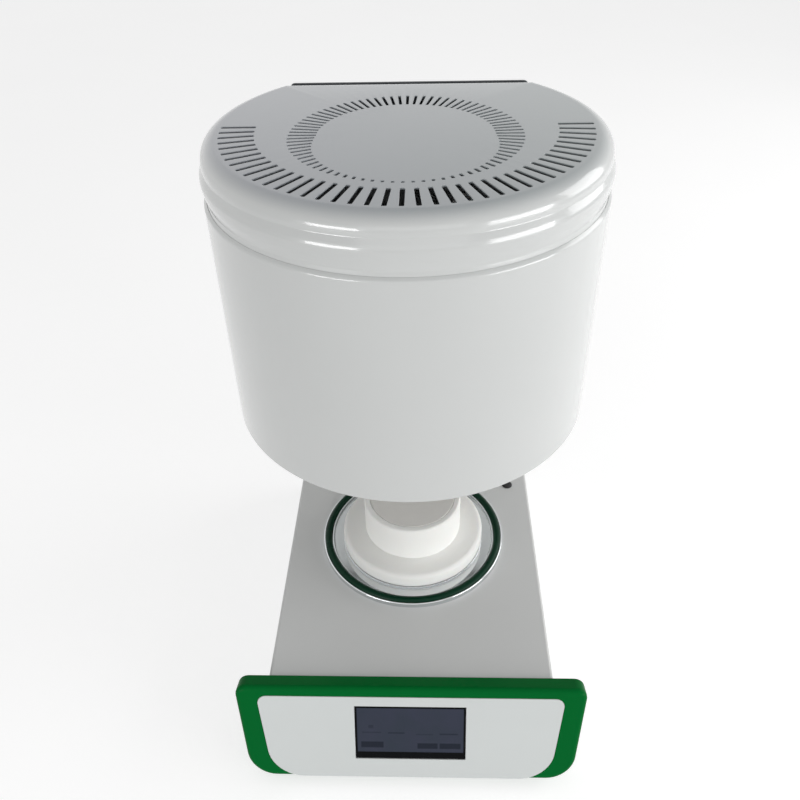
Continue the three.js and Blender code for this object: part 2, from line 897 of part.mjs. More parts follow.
// The pan is the floor with a leaning front wall and an upright rear wall.
function basePan() {
  const top = baseTop - baseEdgeRadius - fitGap;
  const inside = fitGap + baseSheet;
  const outline = [
    [panelPlane(footHeight, fitGap), footHeight],
    [baseRear, footHeight],
    [baseRear, top],
    [baseRear - baseSheet, top],
    [baseRear - baseSheet, panFloor],
    [panelPlane(panFloor, inside), panFloor],
    [panelPlane(top, inside), top],
    [panelPlane(top, fitGap), top],
  ];
  const pan = acrossX(outline, 2 * (baseHalfWidth - baseSheet - fitGap));
  const floorVents = [];
  for (let i = 0; i < floorVentCount; i += 1) {
    const x = (i - (floorVentCount - 1) / 2) * floorVentPitch;
    const slot = block(floorVentWidth, floorVentLength, 2 * overrun);
    floorVents.push(slot.translate(x, -floorVentForward, footHeight - overrun));
  }
  const inletCut = 2 * fitGap - 2 * inletBodySet;
  const switchCut = 2 * fitGap - 2 * switchBodySet;
  const hatchBottom = footHeight + panelHatchHeightAbovePan;
  const hatchDepth = panelHatchHeight + 2 * overrun;
  return cut(
    pan,
    together(floorVents),
    together(
      slotRow(
        rearVentCount,
        rearVentPitch,
        rearVentWidth,
        rearVentHeight,
        baseRear,
        rearVentCentreHeight - rearVentHeight / 2,
      ),
    ),
    rearHole(inletAcross, inletWidth + inletCut, inletHeight + inletCut),
    rearHole(switchAcross, switchWidth + switchCut, switchHeight + switchCut),
    roundRearHole(fuseAcross, fuseBodyRadius + fitGap),
    roundRearHole(portAcross, portStubRadius + fitGap),
    block(panelHatchWidth, hatchDepth, panelHatchHeight, 0, panelPlane(hatchBottom, 0), hatchBottom),
  );
}

function rearHole(x, width, height) {
  return block(width, 2 * overrun, height, x, baseRear, rearRow - height / 2);
}

function roundRearHole(x, radius) {
  return facingBack(post(radius, 2 * overrun, 0, 0, -overrun)).translate(x, baseRear, rearRow);
}

// Turns a piece built standing up so that its top looks to the back.
function facingBack(geometry) {
  return geometry.rotateX(-Math.PI / 2);
}

function foot() {
  return turned(
    [
      [0, 0],
      [footRadius - footTaper, 0],
      [footRadius, footHeight],
      [0, footHeight],
    ],
    smallRoundSteps,
  );
}

function coverPlug() {
  const dome = arc(0, 0, plugRadius, 0, Math.PI / 2);
  const flattened = dome.map(([r, z]) => [r, (z * plugHeight) / plugRadius]);
  flattened[flattened.length - 1][0] = 0;
  return turned([[0, 0], ...flattened], smallRoundSteps);
}

// Mains inlet: a flanged body with a socket that holds three short pins.
function powerInlet() {
  const bodyWidth = inletWidth - 2 * inletBodySet;
  const bodyHeight = inletHeight - 2 * inletBodySet;
  const body = join(
    block(inletWidth, inletHeight, inletFlange),
    block(bodyWidth, bodyHeight, inletBodyDepth + inletFlange, 0, 0, -inletBodyDepth),
  );
  const socketBottom = inletFlange - socketDepth;
  const hollow = cut(body, block(socketWidth, socketHeight, socketDepth + overrun, 0, 0, socketBottom));
  const pinRise = pinLength + overrun;
  const pins = [-1, 0, 1].map((side) => {
    const y = side === 0 ? -pinDrop : pinDrop;
    return block(pinWidth, pinHeight, pinRise, side * pinSpread, y, socketBottom - overrun);
  });
  return facingBack(join(hollow, ...pins));
}

function switchHousing() {
  const bodyWidth = switchWidth - 2 * switchBodySet;
  const bodyHeight = switchHeight - 2 * switchBodySet;
  const cavityWidth = rockerWidth + 2 * rockerSide;
  const cavityLength = 2 * (rockerHalfLength + rockerEnd);
  const cavityDepth = rockerCavity + overrun;
  const body = join(
    block(switchWidth, switchHeight, switchFlange),
    block(bodyWidth, bodyHeight, switchBodyDepth + switchFlange, 0, 0, -switchBodyDepth),
  );
  return facingBack(
    cut(body, block(cavityWidth, cavityLength, cavityDepth, 0, 0, switchFlange - rockerCavity)),
  );
}

// The rocker: two wings that meet in a shallow valley over the pivot, stored with one side down.
function rocker() {
  const outline = new THREE.Shape(
    [
      [-rockerHalfLength, -rockerBack],
      [rockerHalfLength, -rockerBack],
      [rockerHalfLength, rockerFront],
      [0, rockerFront - rockerDip],
      [-rockerHalfLength, rockerFront],
    ].map(([along, out]) => new THREE.Vector2(along, out)),
  );
  return new THREE.ExtrudeGeometry(outline, { depth: rockerWidth, bevelEnabled: false })
    .translate(0, 0, -rockerWidth / 2)
    .rotateY(-Math.PI / 2);
}

function fuseHolder() {
  const body = turned(
    [
      [0, -fuseBodyDepth],
      [fuseBodyRadius, -fuseBodyDepth],
      [fuseBodyRadius, 0],
      [fuseFlangeRadius, 0],
      [fuseFlangeRadius, fuseFlange],
      [fuseCapRadius, fuseFlange],
      [fuseCapRadius, fuseCapLength],
      [0, fuseCapLength],
    ],
    smallRoundSteps,
  );
  const slotLength = 2 * fuseCapRadius + overrun;
  const slotBottom = fuseCapLength - fuseSlotDepth;
  return facingBack(
    cut(body, block(slotLength, fuseSlotWidth, fuseSlotDepth + overrun, 0, 0, slotBottom)),
  );
}

// Vacuum port: a flange with a barbed hose tail outside and a plain stub inside.
function vacuumPort() {
  const barbLength = (portReach - portFlange) / barbCount;
  const barbs = [];
  for (let i = 0; i < barbCount; i += 1) {
    const start = portFlange + barbLength * i;
    barbs.push([barbRadius, start], [barbNeck, start + barbLength]);
  }
  return facingBack(
    turnedRing(
      [
        [portBore, -portStubLength],
        [portStubRadius, -portStubLength],
        [portStubRadius, 0],
        [portFlangeRadius, 0],
        [portFlangeRadius, portFlange],
        ...barbs,
        [portBore, portReach],
      ],
      smallRoundSteps,
    ),
  );
}

function powerSupply() {
  const body = block(supplyWidth, supplyDepth, supplyHeight);
  const vents = [];
  for (let i = 0; i < supplyVentCount; i += 1) {
    const y = (i - (supplyVentCount - 1) / 2) * supplyVentPitch;
    const bottom = supplyHeight - supplyVentDepth;
    vents.push(block(supplyVentLength, supplyVentWidth, supplyVentDepth + overrun, 0, y, bottom));
  }
  return cut(body, together(vents));
}

// Corner places of a rectangle, inset from its edges.
function cornerPlaces(width, depth, inset) {
  const x = width / 2 - inset;
  const y = depth / 2 - inset;
  return [[-x, -y], [x, -y], [-x, y], [x, y]];
}

function boardCarrier() {
  const plate = block(carrierWidth, carrierDepth, carrierSheet);
  const posts = cornerPlaces(carrierWidth, carrierDepth, carrierPostInset).map(([x, y]) =>
    post(carrierPostRadius, carrierPostHeight + carrierSheet, x, y, 0),
  );
  return join(plate, ...posts);
}

// The control board with its connectors, processor and two tall capacitors.
function controlBoard() {
  const width = carrierWidth - carrierPostInset;
  const depth = carrierDepth - carrierPostInset;
  const partHeight = boardPartHeight + boardSheet;
  const connectorY = depth / 2 - boardConnectorInset;
  const tallHeight = boardCapacitorHeight + boardSheet;
  return join(
    block(width, depth, boardSheet),
    block(boardConnectorWidth, boardConnectorDepth, partHeight, 0, connectorY),
    block(boardConnectorWidth, boardConnectorDepth, partHeight, 0, -connectorY),
    block(boardChip, boardChip, boardSheet + boardChipHeight, -boardChipAcross, 0),
    post(boardCapacitorRadius, tallHeight, boardCapacitorAcross, -boardCapacitorSpread),
    post(boardCapacitorRadius, tallHeight, boardCapacitorAcross, boardCapacitorSpread),
  );
}

function heatSink() {
  const plate = block(sinkWidth, sinkDepth, sinkPlate, 0, 0, sinkHeight - sinkPlate);
  const pitch = (sinkWidth - sinkFinWidth) / (sinkFins - 1);
  const fins = [];
  for (let i = 0; i < sinkFins; i += 1) {
    fins.push(block(sinkFinWidth, sinkDepth, sinkHeight, -sinkWidth / 2 + sinkFinWidth / 2 + pitch * i));
  }
  return join(plate, ...fins);
}

function vacuumValve() {
  return join(
    block(valveBody, valveDepth, valveHeight),
    post(valveCoilRadius, valveHeight + valveCoilHeight),
  );
}

// A hose along a smooth path of hand-set points.
function hose(points) {
  const path = new THREE.CatmullRomCurve3(points.map(([x, y, z]) => new THREE.Vector3(x, y, z)));
  const section = new THREE.Shape(
    arc(0, 0, hoseRadius, 0, 2 * Math.PI, hoseSides)
      .slice(1)
      .map(([x, y]) => new THREE.Vector2(x, y)),
  );
  return new THREE.ExtrudeGeometry(section, { steps: hoseSteps, extrudePath: path });
}

function rearHose() {
  const start = baseRear - portStubLength - fitGap;
  const end = valveBack + valveDepth / 2 + fitGap;
  const low = panFloor + valveHeight / 2;
  return hose([
    [portAcross, start, rearRow],
    [portAcross, start - hoseRearBend, rearRow],
    [portAcross, (start + end) / 2, (rearRow + low) / 2],
    [portAcross, end + hoseRearBend, low],
    [portAcross, end, low],
  ]);
}

function frontHose() {
  const start = valveBack - valveDepth / 2 - fitGap;
  const low = panFloor + valveHeight / 2;
  const nippleEnd = baseTop - spigotDepth - hoseNippleLength - fitGap;
  return hose([
    [portAcross, start, low],
    [portAcross, start - hoseFrontBend, low],
    [portAcross / 2, 0, (low + nippleEnd) / 2],
    [hoseSwing, 0, nippleEnd - hoseFrontBend],
    [0, 0, nippleEnd - hoseRearBend],
    [0, 0, nippleEnd],
  ]);
}

function buildBase() {
  const base = groupAt(stand, 0, 0, 0);
  add(base, "base_cover", baseCover(), basePaint);
  add(base, "base_pan", basePan(), galvanised);
  const footY = baseRear - footInset;
  const frontFootY = panelPlane(footHeight, fitGap) + footInset;
  const footX = baseHalfWidth - footInset;
  add(base, "foot_rear_left", foot(), blackRubber).position.set(-footX, footY, 0);
  add(base, "foot_rear_right", foot(), blackRubber).position.set(footX, footY, 0);
  add(base, "foot_front_left", foot(), blackRubber).position.set(-footX, frontFootY, 0);
  add(base, "foot_front_right", foot(), blackRubber).position.set(footX, frontFootY, 0);
  add(base, "cover_plug", coverPlug(), blackRubber).position.set(plugAcross, plugBack, baseTop);

  const rear = groupAt(base, 0, baseRear, rearRow);
  add(rear, "power_inlet", powerInlet(), blackPlastic).position.x = inletAcross;
  add(rear, "switch_housing", switchHousing(), blackPlastic).position.x = switchAcross;
  const tip = add(rear, "switch_rocker", rocker(), blackPlastic);
  tip.position.x = switchAcross;
  tip.rotation.x = -THREE.MathUtils.degToRad(rockerTiltDegrees);
  add(rear, "fuse_holder", fuseHolder(), blackPlastic).position.x = fuseAcross;
  add(rear, "vacuum_port", vacuumPort(), brass).position.x = portAcross;

  const inside = groupAt(base, 0, 0, panFloor);
  add(inside, "power_supply", powerSupply(), galvanised).position.set(supplyAcross, supplyBack, 0);
  add(inside, "board_carrier", boardCarrier(), galvanised).position.set(carrierAcross, -carrierForward, 0);
  const boardZ = carrierSheet + carrierPostHeight;
  const board = add(inside, "control_board", controlBoard(), boardGreen);
  board.position.set(carrierAcross, -carrierForward, boardZ);
  add(inside, "heat_sink", heatSink(), aluminium).position.set(sinkAcross, -sinkForward, 0);
  const relay = block(relayWidth, relayDepth, relayHeight);
  add(inside, "heater_relay", relay, blackPlastic).position.set(sinkAcross, -sinkForward, sinkHeight);
  add(inside, "vacuum_valve", vacuumValve(), brass).position.set(portAcross, valveBack, 0);
  add(base, "display_cable", displayCable(), cableJacket);
  add(base, "hose_rear", rearHose(), clearHose);
  add(base, "hose_front", frontHose(), clearHose);
}

// A panel outline, wider at the top, in the panel's own plane with the crease at zero.
function panelOutline(top, bottom, topHalf, bottomHalf, topRadius, bottomRadius) {
  return roundedOutline([
    [-bottomHalf, -bottom, bottomRadius],
    [bottomHalf, -bottom, bottomRadius],
    [topHalf, -top, topRadius],
    [-topHalf, -top, topRadius],
  ]);
}

// The bezel: a deep frame with a softened front edge, a pocket for the fascia and a hollow back.
function frontBezel() {
  const outline = panelOutline(
    0,
    bezelHeight,
    bezelTopHalf,
    bezelBottomHalf,
    bezelTopRadius,
    bezelBottomRadius,
  );
  const deep = new THREE.ExtrudeGeometry(outline, {
    depth: bezelDepth,
    bevelThickness: bezelEdge,
    bevelSize: bezelEdge,
    bevelOffset: -bezelEdge,
    bevelSegments: 2,
  }).translate(0, 0, -bezelDepth - bezelEdge);
  const behind = block(4 * bezelTopHalf, 4 * bezelHeight, bezelDepth, 0, 0, -2 * bezelDepth);
  const pocketFloor = fasciaSheet - fasciaProud + fitGap;
  const pocket = fasciaOutline(fitGap);
  const hollow = panelOutline(
    bezelWall,
    bezelHeight - bezelWall,
    bezelTopHalf - bezelWall,
    bezelBottomHalf - bezelWall,
    bezelTopRadius - bezelWall,
    bezelBottomRadius - bezelWall,
  );
  const hollowDepth = bezelDepth - pocketFloor - bezelWall;
  const windowY = -windowTop - windowHeight / 2;
  const frame = cut(
    deep,
    behind,
    raised(pocket, pocketFloor + overrun, -pocketFloor),
    raised(hollow, hollowDepth + overrun, -bezelDepth - overrun),
    block(moduleWidth + 2 * fitGap, moduleHeight + 2 * fitGap, bezelDepth, 0, windowY, -bezelDepth),
  );
  const places = [-bossTop, -bossBottom].flatMap((y) => [[-bossAcross, y], [bossAcross, y]]);
  const bosses = places.map(([x, y]) => post(bossRadius, hollowDepth + bezelWall / 2, x, y, -bezelDepth));
  return join(frame, ...bosses);
}

// The fascia's outline, grown by a margin for the pocket that it lies in.
function fasciaOutline(margin) {
  return panelOutline(
    fasciaTop - margin,
    fasciaBottom + margin,
    fasciaTopHalf + margin,
    fasciaBottomHalf + margin,
    fasciaTopRadius + margin,
    fasciaBottomRadius + margin,
  );
}

function frontFascia() {
  const plate = raised(fasciaOutline(0), fasciaSheet, fasciaProud - fasciaSheet);
  const width = windowWidth + 2 * fitGap;
  const height = windowHeight + 2 * fitGap;
  const windowY = -windowTop - windowHeight / 2;
  return cut(plate, block(width, height, fasciaSheet + 2 * overrun, 0, windowY, -fasciaSheet - overrun));
}

// A flat cable: the edge of a smooth path seen from the side, drawn out to the cable's width.
function displayCable() {
  const backSet = fasciaSheet - fasciaProud + fitGap + moduleDepth + displayBoardSheet + cableEndGap;
  const startY = -creaseForward - cableDrop * Math.sin(panelTilt) + backSet * Math.cos(panelTilt);
  const startZ = baseTop + creaseRise - cableDrop * Math.cos(panelTilt) - backSet * Math.sin(panelTilt);
  const plug = boardConnectorInset - (carrierDepth - carrierPostInset) / 2;
  const endY = plug - carrierForward;
  const endZ = panFloor + carrierSheet + carrierPostHeight + boardSheet + boardPartHeight + cableEndGap;
  const path = new THREE.SplineCurve([
    new THREE.Vector2(startY, startZ),
    new THREE.Vector2(startY + cableRun, startZ),
    new THREE.Vector2((startY + endY) / 2, (startZ + endZ) / 2),
    new THREE.Vector2(endY - cableRun, endZ + cableSheet),
    new THREE.Vector2(endY, endZ + cableSheet / 2),
  ]);
  const edge = (side) =>
    path.getSpacedPoints(cableSteps).map((point, i) => {
      const along = path.getTangentAt(i / cableSteps);
      const across = new THREE.Vector2(-along.y, along.x).multiplyScalar((side * cableSheet) / 2);
      return point.clone().add(across).toArray();
    });
  return acrossX([...edge(-1), ...edge(1).reverse()], cableWidth).translate(cableAcross, 0, 0);
}

// The display module: its metal frame on the board that drives it.
function displayModule() {
  return join(
    block(moduleWidth, moduleHeight, moduleDepth),
    block(displayBoardWidth, displayBoardHeight, displayBoardSheet, 0, 0, -displayBoardSheet),
  );
}

function buildPanel() {
  const panel = groupAt(stand, 0, -creaseForward, baseTop + creaseRise);
  panel.rotation.x = Math.PI / 2 - panelTilt;
  const windowY = -windowTop - windowHeight / 2;
  add(panel, "front_bezel", frontBezel(), greenPlastic);
  add(panel, "front_fascia", frontFascia(), fasciaPlastic);
  const glass = block(windowWidth, windowHeight, glassSheet);
  const glassZ = fasciaProud - windowRecess - glassSheet;
  add(panel, "display_glass", glass, screenGlass).position.set(0, windowY, glassZ);
  const moduleZ = fasciaProud - fasciaSheet - fitGap - moduleDepth;
  add(panel, "display_module", displayModule(), galvanised).position.set(0, windowY, moduleZ);
}

// The platter: a dished plate with a groove for the seal ring and a spigot through the base plate.
function platter() {
  const grooveInner = sealInner - fitGap;
  const grooveOuter = sealInner + sealWidth + fitGap;
  return turned(
    [
      [0, -spigotDepth - hoseNippleLength],
      [hoseNippleRadius, -spigotDepth - hoseNippleLength],
      [hoseNippleRadius, -spigotDepth],
      [spigotRadius, -spigotDepth],
      [spigotRadius, 0],
      [platterRadius, 0],
      [platterRadius, platterRim - platterEdge],
      [platterRadius - platterEdge, platterRim],
      [grooveOuter, platterRim],
      [grooveOuter, sealSeat - fitGap],
      [grooveInner, sealSeat - fitGap],
      [grooveInner, platterRim],
      [platterDishRadius + platterEdge, platterRim],
      [platterDishRadius, platterDish],
      [0, platterDish],
    ],
    largeRoundSteps,
  );
}

// The seal ring: flat below, round on top.
function sealRing() {
  const half = sealWidth / 2;
  const crown = arc(sealInner + half, sealTop - half, half, 0, Math.PI);
  return turnedRing(
    [[sealInner, sealSeat], [sealInner + sealWidth, sealSeat], ...crown],
    largeRoundSteps,
  );
}

// A ceramic disc with rounded rims and, where asked, a seat sunk in its top.
function ceramicDisc(radius, height, edge, seatRadius = 0, seatDepth = 0) {
  const lower = arc(radius - edge, edge, edge, -Math.PI / 2, 0, softEdgeSteps);
  const upper = arc(radius - edge, height - edge, edge, 0, Math.PI / 2, softEdgeSteps);
  const seat = seatDepth > 0 ? [[seatRadius, height], [seatRadius, height - seatDepth]] : [];
  return turned([[0, 0], ...lower, ...upper, ...seat, [0, height - seatDepth]], roundSteps);
}

function buildPedestal() {
  const pedestal = groupAt(stand, 0, 0, baseTop);
  add(pedestal, "platter", platter(), polishedSteel);
  add(pedestal, "seal_ring", sealRing(), greenSilicone);
  const plate = post(pedestalPlateRadius, pedestalPlateSheet, 0, 0, 0, roundSteps);
  add(pedestal, "pedestal_plate", plate, brushedSteel).position.z = platterDish;
  const lowerZ = platterDish + pedestalPlateSheet;
  const lower = ceramicDisc(lowerRadius, lowerHeight, lowerEdge);
  add(pedestal, "pedestal_lower", lower, whiteCeramic).position.z = lowerZ;
  const upper = ceramicDisc(upperRadius, upperHeight, upperEdge, trayRadius + fitGap, traySeatDepth);
  add(pedestal, "pedestal_upper", upper, whiteCeramic).position.z = lowerZ + lowerHeight;
  const trayZ = lowerZ + lowerHeight + upperHeight - traySeatDepth;
  const tray = post(trayRadius, trayThickness, 0, 0, 0, roundSteps);
  add(pedestal, "firing_disc", tray, greyCeramic).position.z = trayZ;
}

// The column's front sheet, with a slot for each arm of the carriage.
function columnFront() {
  const sheet = block(2 * columnHalfWidth, columnSheet, columnTop - baseTop, 0, columnSheet / 2);
  const armBottom = headBottom + carriageBottom + (carriageHeight - armHeight) / 2;
  const slotBottom = armBottom - headTravel - armEndClear - baseTop;
  const slotHeight = headTravel + armHeight + 2 * armEndClear;
  const slotWidth = armWidth + 2 * armClear;
  return cut(
    sheet,
    block(slotWidth, 2 * overrun, slotHeight, -armSpread, 0, slotBottom),
    block(slotWidth, 2 * overrun, slotHeight, armSpread, 0, slotBottom),
  );
}

// The column in plan, set in from its outer faces, with rounded rear corners.
function columnPlan(set, front) {
  const half = columnHalfWidth - set;
  const radius = columnCornerRadius - set;
  return roundedOutline([
    [-half, front, fitGap],
    [half, front, fitGap],
    [half, columnRear - set, radius],
    [-half, columnRear - set, radius],
  ]);
}

// The column's cover: back, sides and top in one folded sheet, open to the front and below.
function columnCover() {
  const height = columnTop - baseTop;
  const outer = raised(columnPlan(0, columnInsideY + fitGap), height);
  const hollow = columnPlan(columnSheet, columnInsideY - overrun);
  const vents = [];
  for (let i = 0; i < columnVentCount; i += 1) {
    const bottom = height - columnVentTopSet - columnVentPitch * i;
    vents.push(block(columnVentWidth, 2 * overrun, columnVentHeight, 0, columnRear, bottom));
  }
  return cut(outer, raised(hollow, height - columnSheet + overrun, -overrun), together(vents));
}

// The plate on the base that the rods and the screw's lower bearing stand in.
function columnFoot() {
  const holeHeight = footPlateHeight + 2 * overrun;
  return cut(
    raised(columnPlan(columnSheet + fitGap, columnInsideY + fitGap), footPlateHeight),
    post(rodRadius + fitGap, holeHeight, -rodSpread, liftLine, -overrun),
    post(rodRadius + fitGap, holeHeight, rodSpread, liftLine, -overrun),
    post(rollRadius + fitGap, holeHeight, 0, liftLine, -overrun),
  );
}

function columnTopPlate() {
  const holeHeight = topPlateHeight + 2 * overrun;
  const seatBottom = topPlateHeight - rollHeight - fitGap;
  return cut(
    raised(columnPlan(columnSheet + fitGap, columnInsideY + fitGap), topPlateHeight),
    post(rodRadius + fitGap, holeHeight, -rodSpread, liftLine, -overrun),
    post(rodRadius + fitGap, holeHeight, rodSpread, liftLine, -overrun),
    post(screwRadius + fitGap, holeHeight, 0, liftLine, -overrun),
    post(rollRadius + fitGap, rollHeight + overrun, 0, liftLine, seatBottom),
  );
}

// The lead screw with a thinner journal at each end.
function leadScrew() {
  const bodyBottom = baseTop + footPlateHeight;
  const bodyTop = topPlateTop - rollHeight - fitGap;
  return turned(
    [
      [0, baseTop - journalReach],
      [journalRadius, baseTop - journalReach],
      [journalRadius, bodyBottom],
      [screwRadius, bodyBottom],
      [screwRadius, bodyTop],
      [journalRadius, bodyTop],
      [journalRadius, topPlateTop],
      [0, topPlateTop],
    ],
    smallRoundSteps,
  );
}

function screwBearing() {
  return turnedRing(
    [
      [journalRadius + fitGap, 0],
      [rollRadius, 0],
      [rollRadius, rollHeight],
      [journalRadius + fitGap, rollHeight],
    ],
    smallRoundSteps,
  );
}

// The coupling takes the screw's journal in its top and reaches into the motor with a stub.
function motorCoupling() {
  return turned(
    [
      [0, -couplingStubLength],
      [couplingStubRadius, -couplingStubLength],
      [couplingStubRadius, 0],
      [couplingRadius, 0],
      [couplingRadius, couplingLength],
      [journalRadius + fitGap, couplingLength],
      [journalRadius + fitGap, couplingLength - couplingBore],
      [0, couplingLength - couplingBore],
    ],
    smallRoundSteps,
  );
}

function liftMotor() {
  const half = motorWidth / 2;
  const outline = roundedOutline(
    [
      [-half, -half, motorCorner],
      [half, -half, motorCorner],
      [half, half, motorCorner],
      [-half, half, motorCorner],
    ],
    1,
  );
  const hole = post(motorHoleRadius, motorHoleDepth + overrun, 0, 0, motorHeight - motorHoleDepth);
  return cut(raised(outline, motorHeight), hole);
}

function buildColumn() {
  const column = groupAt(stand, 0, 0, baseTop);
  add(column, "column_front", columnFront(), basePaint).position.y = columnFrontY;
  add(column, "column_cover", columnCover(), basePaint);
  add(column, "column_foot", columnFoot(), galvanised);
  const topPlateZ = topPlateTop - topPlateHeight - baseTop;
  add(column, "column_top_plate", columnTopPlate(), galvanised).position.z = topPlateZ;
  const rodHeight = topPlateTop - baseTop;
  const rodLeft = add(column, "guide_rod_left", post(rodRadius, rodHeight), polishedSteel);
  rodLeft.position.set(-rodSpread, liftLine, 0);
  const rodRight = add(column, "guide_rod_right", post(rodRadius, rodHeight), polishedSteel);
  rodRight.position.set(rodSpread, liftLine, 0);

  const lift = groupAt(stand, 0, liftLine, 0);
  add(lift, "lead_screw", leadScrew(), polishedSteel);
  add(lift, "screw_bearing_lower", screwBearing(), brushedSteel).position.z = baseTop;
  add(lift, "screw_bearing_upper", screwBearing(), brushedSteel).position.z = topPlateTop - rollHeight;
  const couplingZ = baseTop - journalReach - fitGap - (couplingLength - couplingBore);
  add(lift, "motor_coupling", motorCoupling(), aluminium).position.z = couplingZ;
  add(lift, "lift_motor", liftMotor(), darkPaint).position.z = panFloor;

  const limitY = columnRear - columnSheet - fitGap - limitDepth / 2;
  const limitBody = block(limitWidth, limitDepth, limitHeight);
  const upperLimitZ = headBottom + carriageBottom + carriageHeight;
  const lowerLimitZ = headBottom + carriageBottom - headTravel - limitHeight;
  add(stand, "limit_switch_upper", limitBody, blackPlastic).position.set(limitSpread, limitY, upperLimitZ);
  add(stand, "limit_switch_lower", limitBody, blackPlastic).position.set(limitSpread, limitY, lowerLimitZ);
}

buildBase();
buildPanel();
buildPedestal();
buildColumn();
buildHead();

export default furnace;
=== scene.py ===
# %% [markdown]
# # A dental porcelain furnace
# This lesson dresses a bench furnace that fires ceramic crowns. A round white head travels down a
# column at the back, until it seals on a polished platter with a green ring. The steel base below
# has a green and white front with a touch display. The first cell loads the furnace's plain solids,
# which fix every size and place, and defines how the box of each is read.

# %% Load the furnace
import math

import bmesh
import bpy
from mathutils import Matrix, Vector


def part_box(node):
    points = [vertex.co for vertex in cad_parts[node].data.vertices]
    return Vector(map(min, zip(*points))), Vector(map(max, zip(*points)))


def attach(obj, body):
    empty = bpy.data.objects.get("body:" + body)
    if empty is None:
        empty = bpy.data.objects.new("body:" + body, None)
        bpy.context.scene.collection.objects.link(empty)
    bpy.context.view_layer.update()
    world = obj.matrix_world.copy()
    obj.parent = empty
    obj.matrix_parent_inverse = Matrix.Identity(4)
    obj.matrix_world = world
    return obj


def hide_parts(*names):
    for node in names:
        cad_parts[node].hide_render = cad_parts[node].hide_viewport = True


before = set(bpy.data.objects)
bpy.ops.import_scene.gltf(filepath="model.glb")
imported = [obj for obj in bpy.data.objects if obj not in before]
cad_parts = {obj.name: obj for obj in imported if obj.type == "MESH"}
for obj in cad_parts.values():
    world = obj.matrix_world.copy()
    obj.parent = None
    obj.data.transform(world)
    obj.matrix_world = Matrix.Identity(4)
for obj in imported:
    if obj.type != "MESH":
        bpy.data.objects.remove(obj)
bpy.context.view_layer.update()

mm = 0.001

# %% [markdown]
# ## Places to work from
# Most pieces stand on the axis of the head, so the axis is read from the firing disc. The heights
# of the base and the head come from their own solids in the same way, and so do other places below.

# %% The furnace's main places
disc_low, disc_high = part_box("firing_disc")
axis_y = (disc_low.y + disc_high.y) / 2
base_low, base_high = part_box("base_cover")
sleeve_low, sleeve_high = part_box("head_sleeve")
head_radius = sleeve_high.x
flat_back = sleeve_high.y
head_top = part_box("head_top_cover")[1].z


def centre(node):
    """The middle of a plain solid's box."""
    low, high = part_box(node)
    return (low + high) / 2


print("axis at y =", round(axis_y / mm, 2), "mm, head radius", round(head_radius / mm, 1), "mm")

# %% [markdown]
# ## The camera
# The furnace is seen from the front and well above, with the lens close to it, so the base grows
# narrow towards the head. The camera is turned in three steps: the tilt down, the turn to the side
# and a slight roll.

# %% Camera
camera_place = Vector((14.9, -558.4, 725.8)) * mm
camera_down = math.radians(38.3)
camera_turn = math.radians(2.45)
camera_roll = math.radians(1.55)

camera_data = bpy.data.cameras.new("camera")
camera_data.lens = 36.19
camera_data.sensor_width = 36
camera = bpy.data.objects.new("camera", camera_data)
bpy.context.scene.collection.objects.link(camera)
camera.matrix_world = (
    Matrix.Translation(camera_place)
    @ Matrix.Rotation(camera_turn, 4, "Z")
    @ Matrix.Rotation(math.pi / 2 - camera_down, 4, "X")
    @ Matrix.Rotation(-camera_roll, 4, "Z")
)
bpy.context.scene.camera = camera
print("camera at", [round(v, 3) for v in camera.location])

# %% [markdown]
# ## Hands for the work
# Each operator acts on all that is selected, so the work starts by selecting one object alone. In
# edit mode a test on the middle and the normal of each element does what a mouse click does.

# %% Selecting
def only(piece):
    bpy.ops.object.select_all(action="DESELECT")
    piece.select_set(True)
    bpy.context.view_layer.objects.active = piece


def editing(piece):
    only(piece)
    bpy.ops.object.mode_set(mode="EDIT")
    bpy.ops.mesh.select_all(action="SELECT")


def done():
    bpy.ops.object.mode_set(mode="OBJECT")


# %% Picking in edit mode
def middle(item):
    corners = [item.co] if isinstance(item, bmesh.types.BMVert) else [v.co for v in item.verts]
    return sum(corners, Vector()) / len(corners)


def pick(kind, test):
    """Selects the vertices, edges or faces that pass a test on themselves and their middle."""
    piece = bpy.context.object
    bpy.ops.mesh.select_mode(type=kind)
    bpy.ops.mesh.select_all(action="DESELECT")
    mesh = bmesh.from_edit_mesh(piece.data)
    items = {"VERT": mesh.verts, "EDGE": mesh.edges, "FACE": mesh.faces}[kind]
    for item in items:
        if test(item, middle(item)):
            item.select_set(True)
    mesh.select_flush_mode()
    bmesh.update_edit_mesh(piece.data)


def bevel_edges(offset, segments, test):
    pick("EDGE", test)
    bpy.ops.mesh.bevel(offset=offset, segments=segments, affect="EDGES")


def run(edge, axis):
    """How far an edge runs along an axis."""
    start, end = edge.verts
    return abs(getattr(start.co, axis) - getattr(end.co, axis))


print("the hands are ready")

# %% [markdown]
# ## Turned pieces
# Most of the furnace is round: it could be turned on a lathe, and so it is here. One vertex is
# drawn out into the outline of half a section, its corners are rounded by a vertex bevel, and the
# outline is spun about the axis. An outline that doesn't end on the axis is closed first, which
# makes a ring.

# %% Drawing an outline
def same(a, b):
    return (a - b).length < 1e-6


def drawn(name, points):
    bpy.ops.object.select_all(action="DESELECT")
    bpy.ops.mesh.primitive_plane_add(size=mm)
    piece = bpy.context.object
    piece.name = name
    bpy.ops.object.mode_set(mode="EDIT")
    bpy.ops.mesh.select_mode(type="VERT")
    bpy.ops.mesh.select_all(action="SELECT")
    bpy.ops.mesh.merge(type="CENTER")
    bpy.ops.transform.translate(value=points[0])
    for start, end in zip(points, points[1:]):
        bpy.ops.mesh.extrude_vertices_move(TRANSFORM_OT_translate={"value": end - start})
    return piece


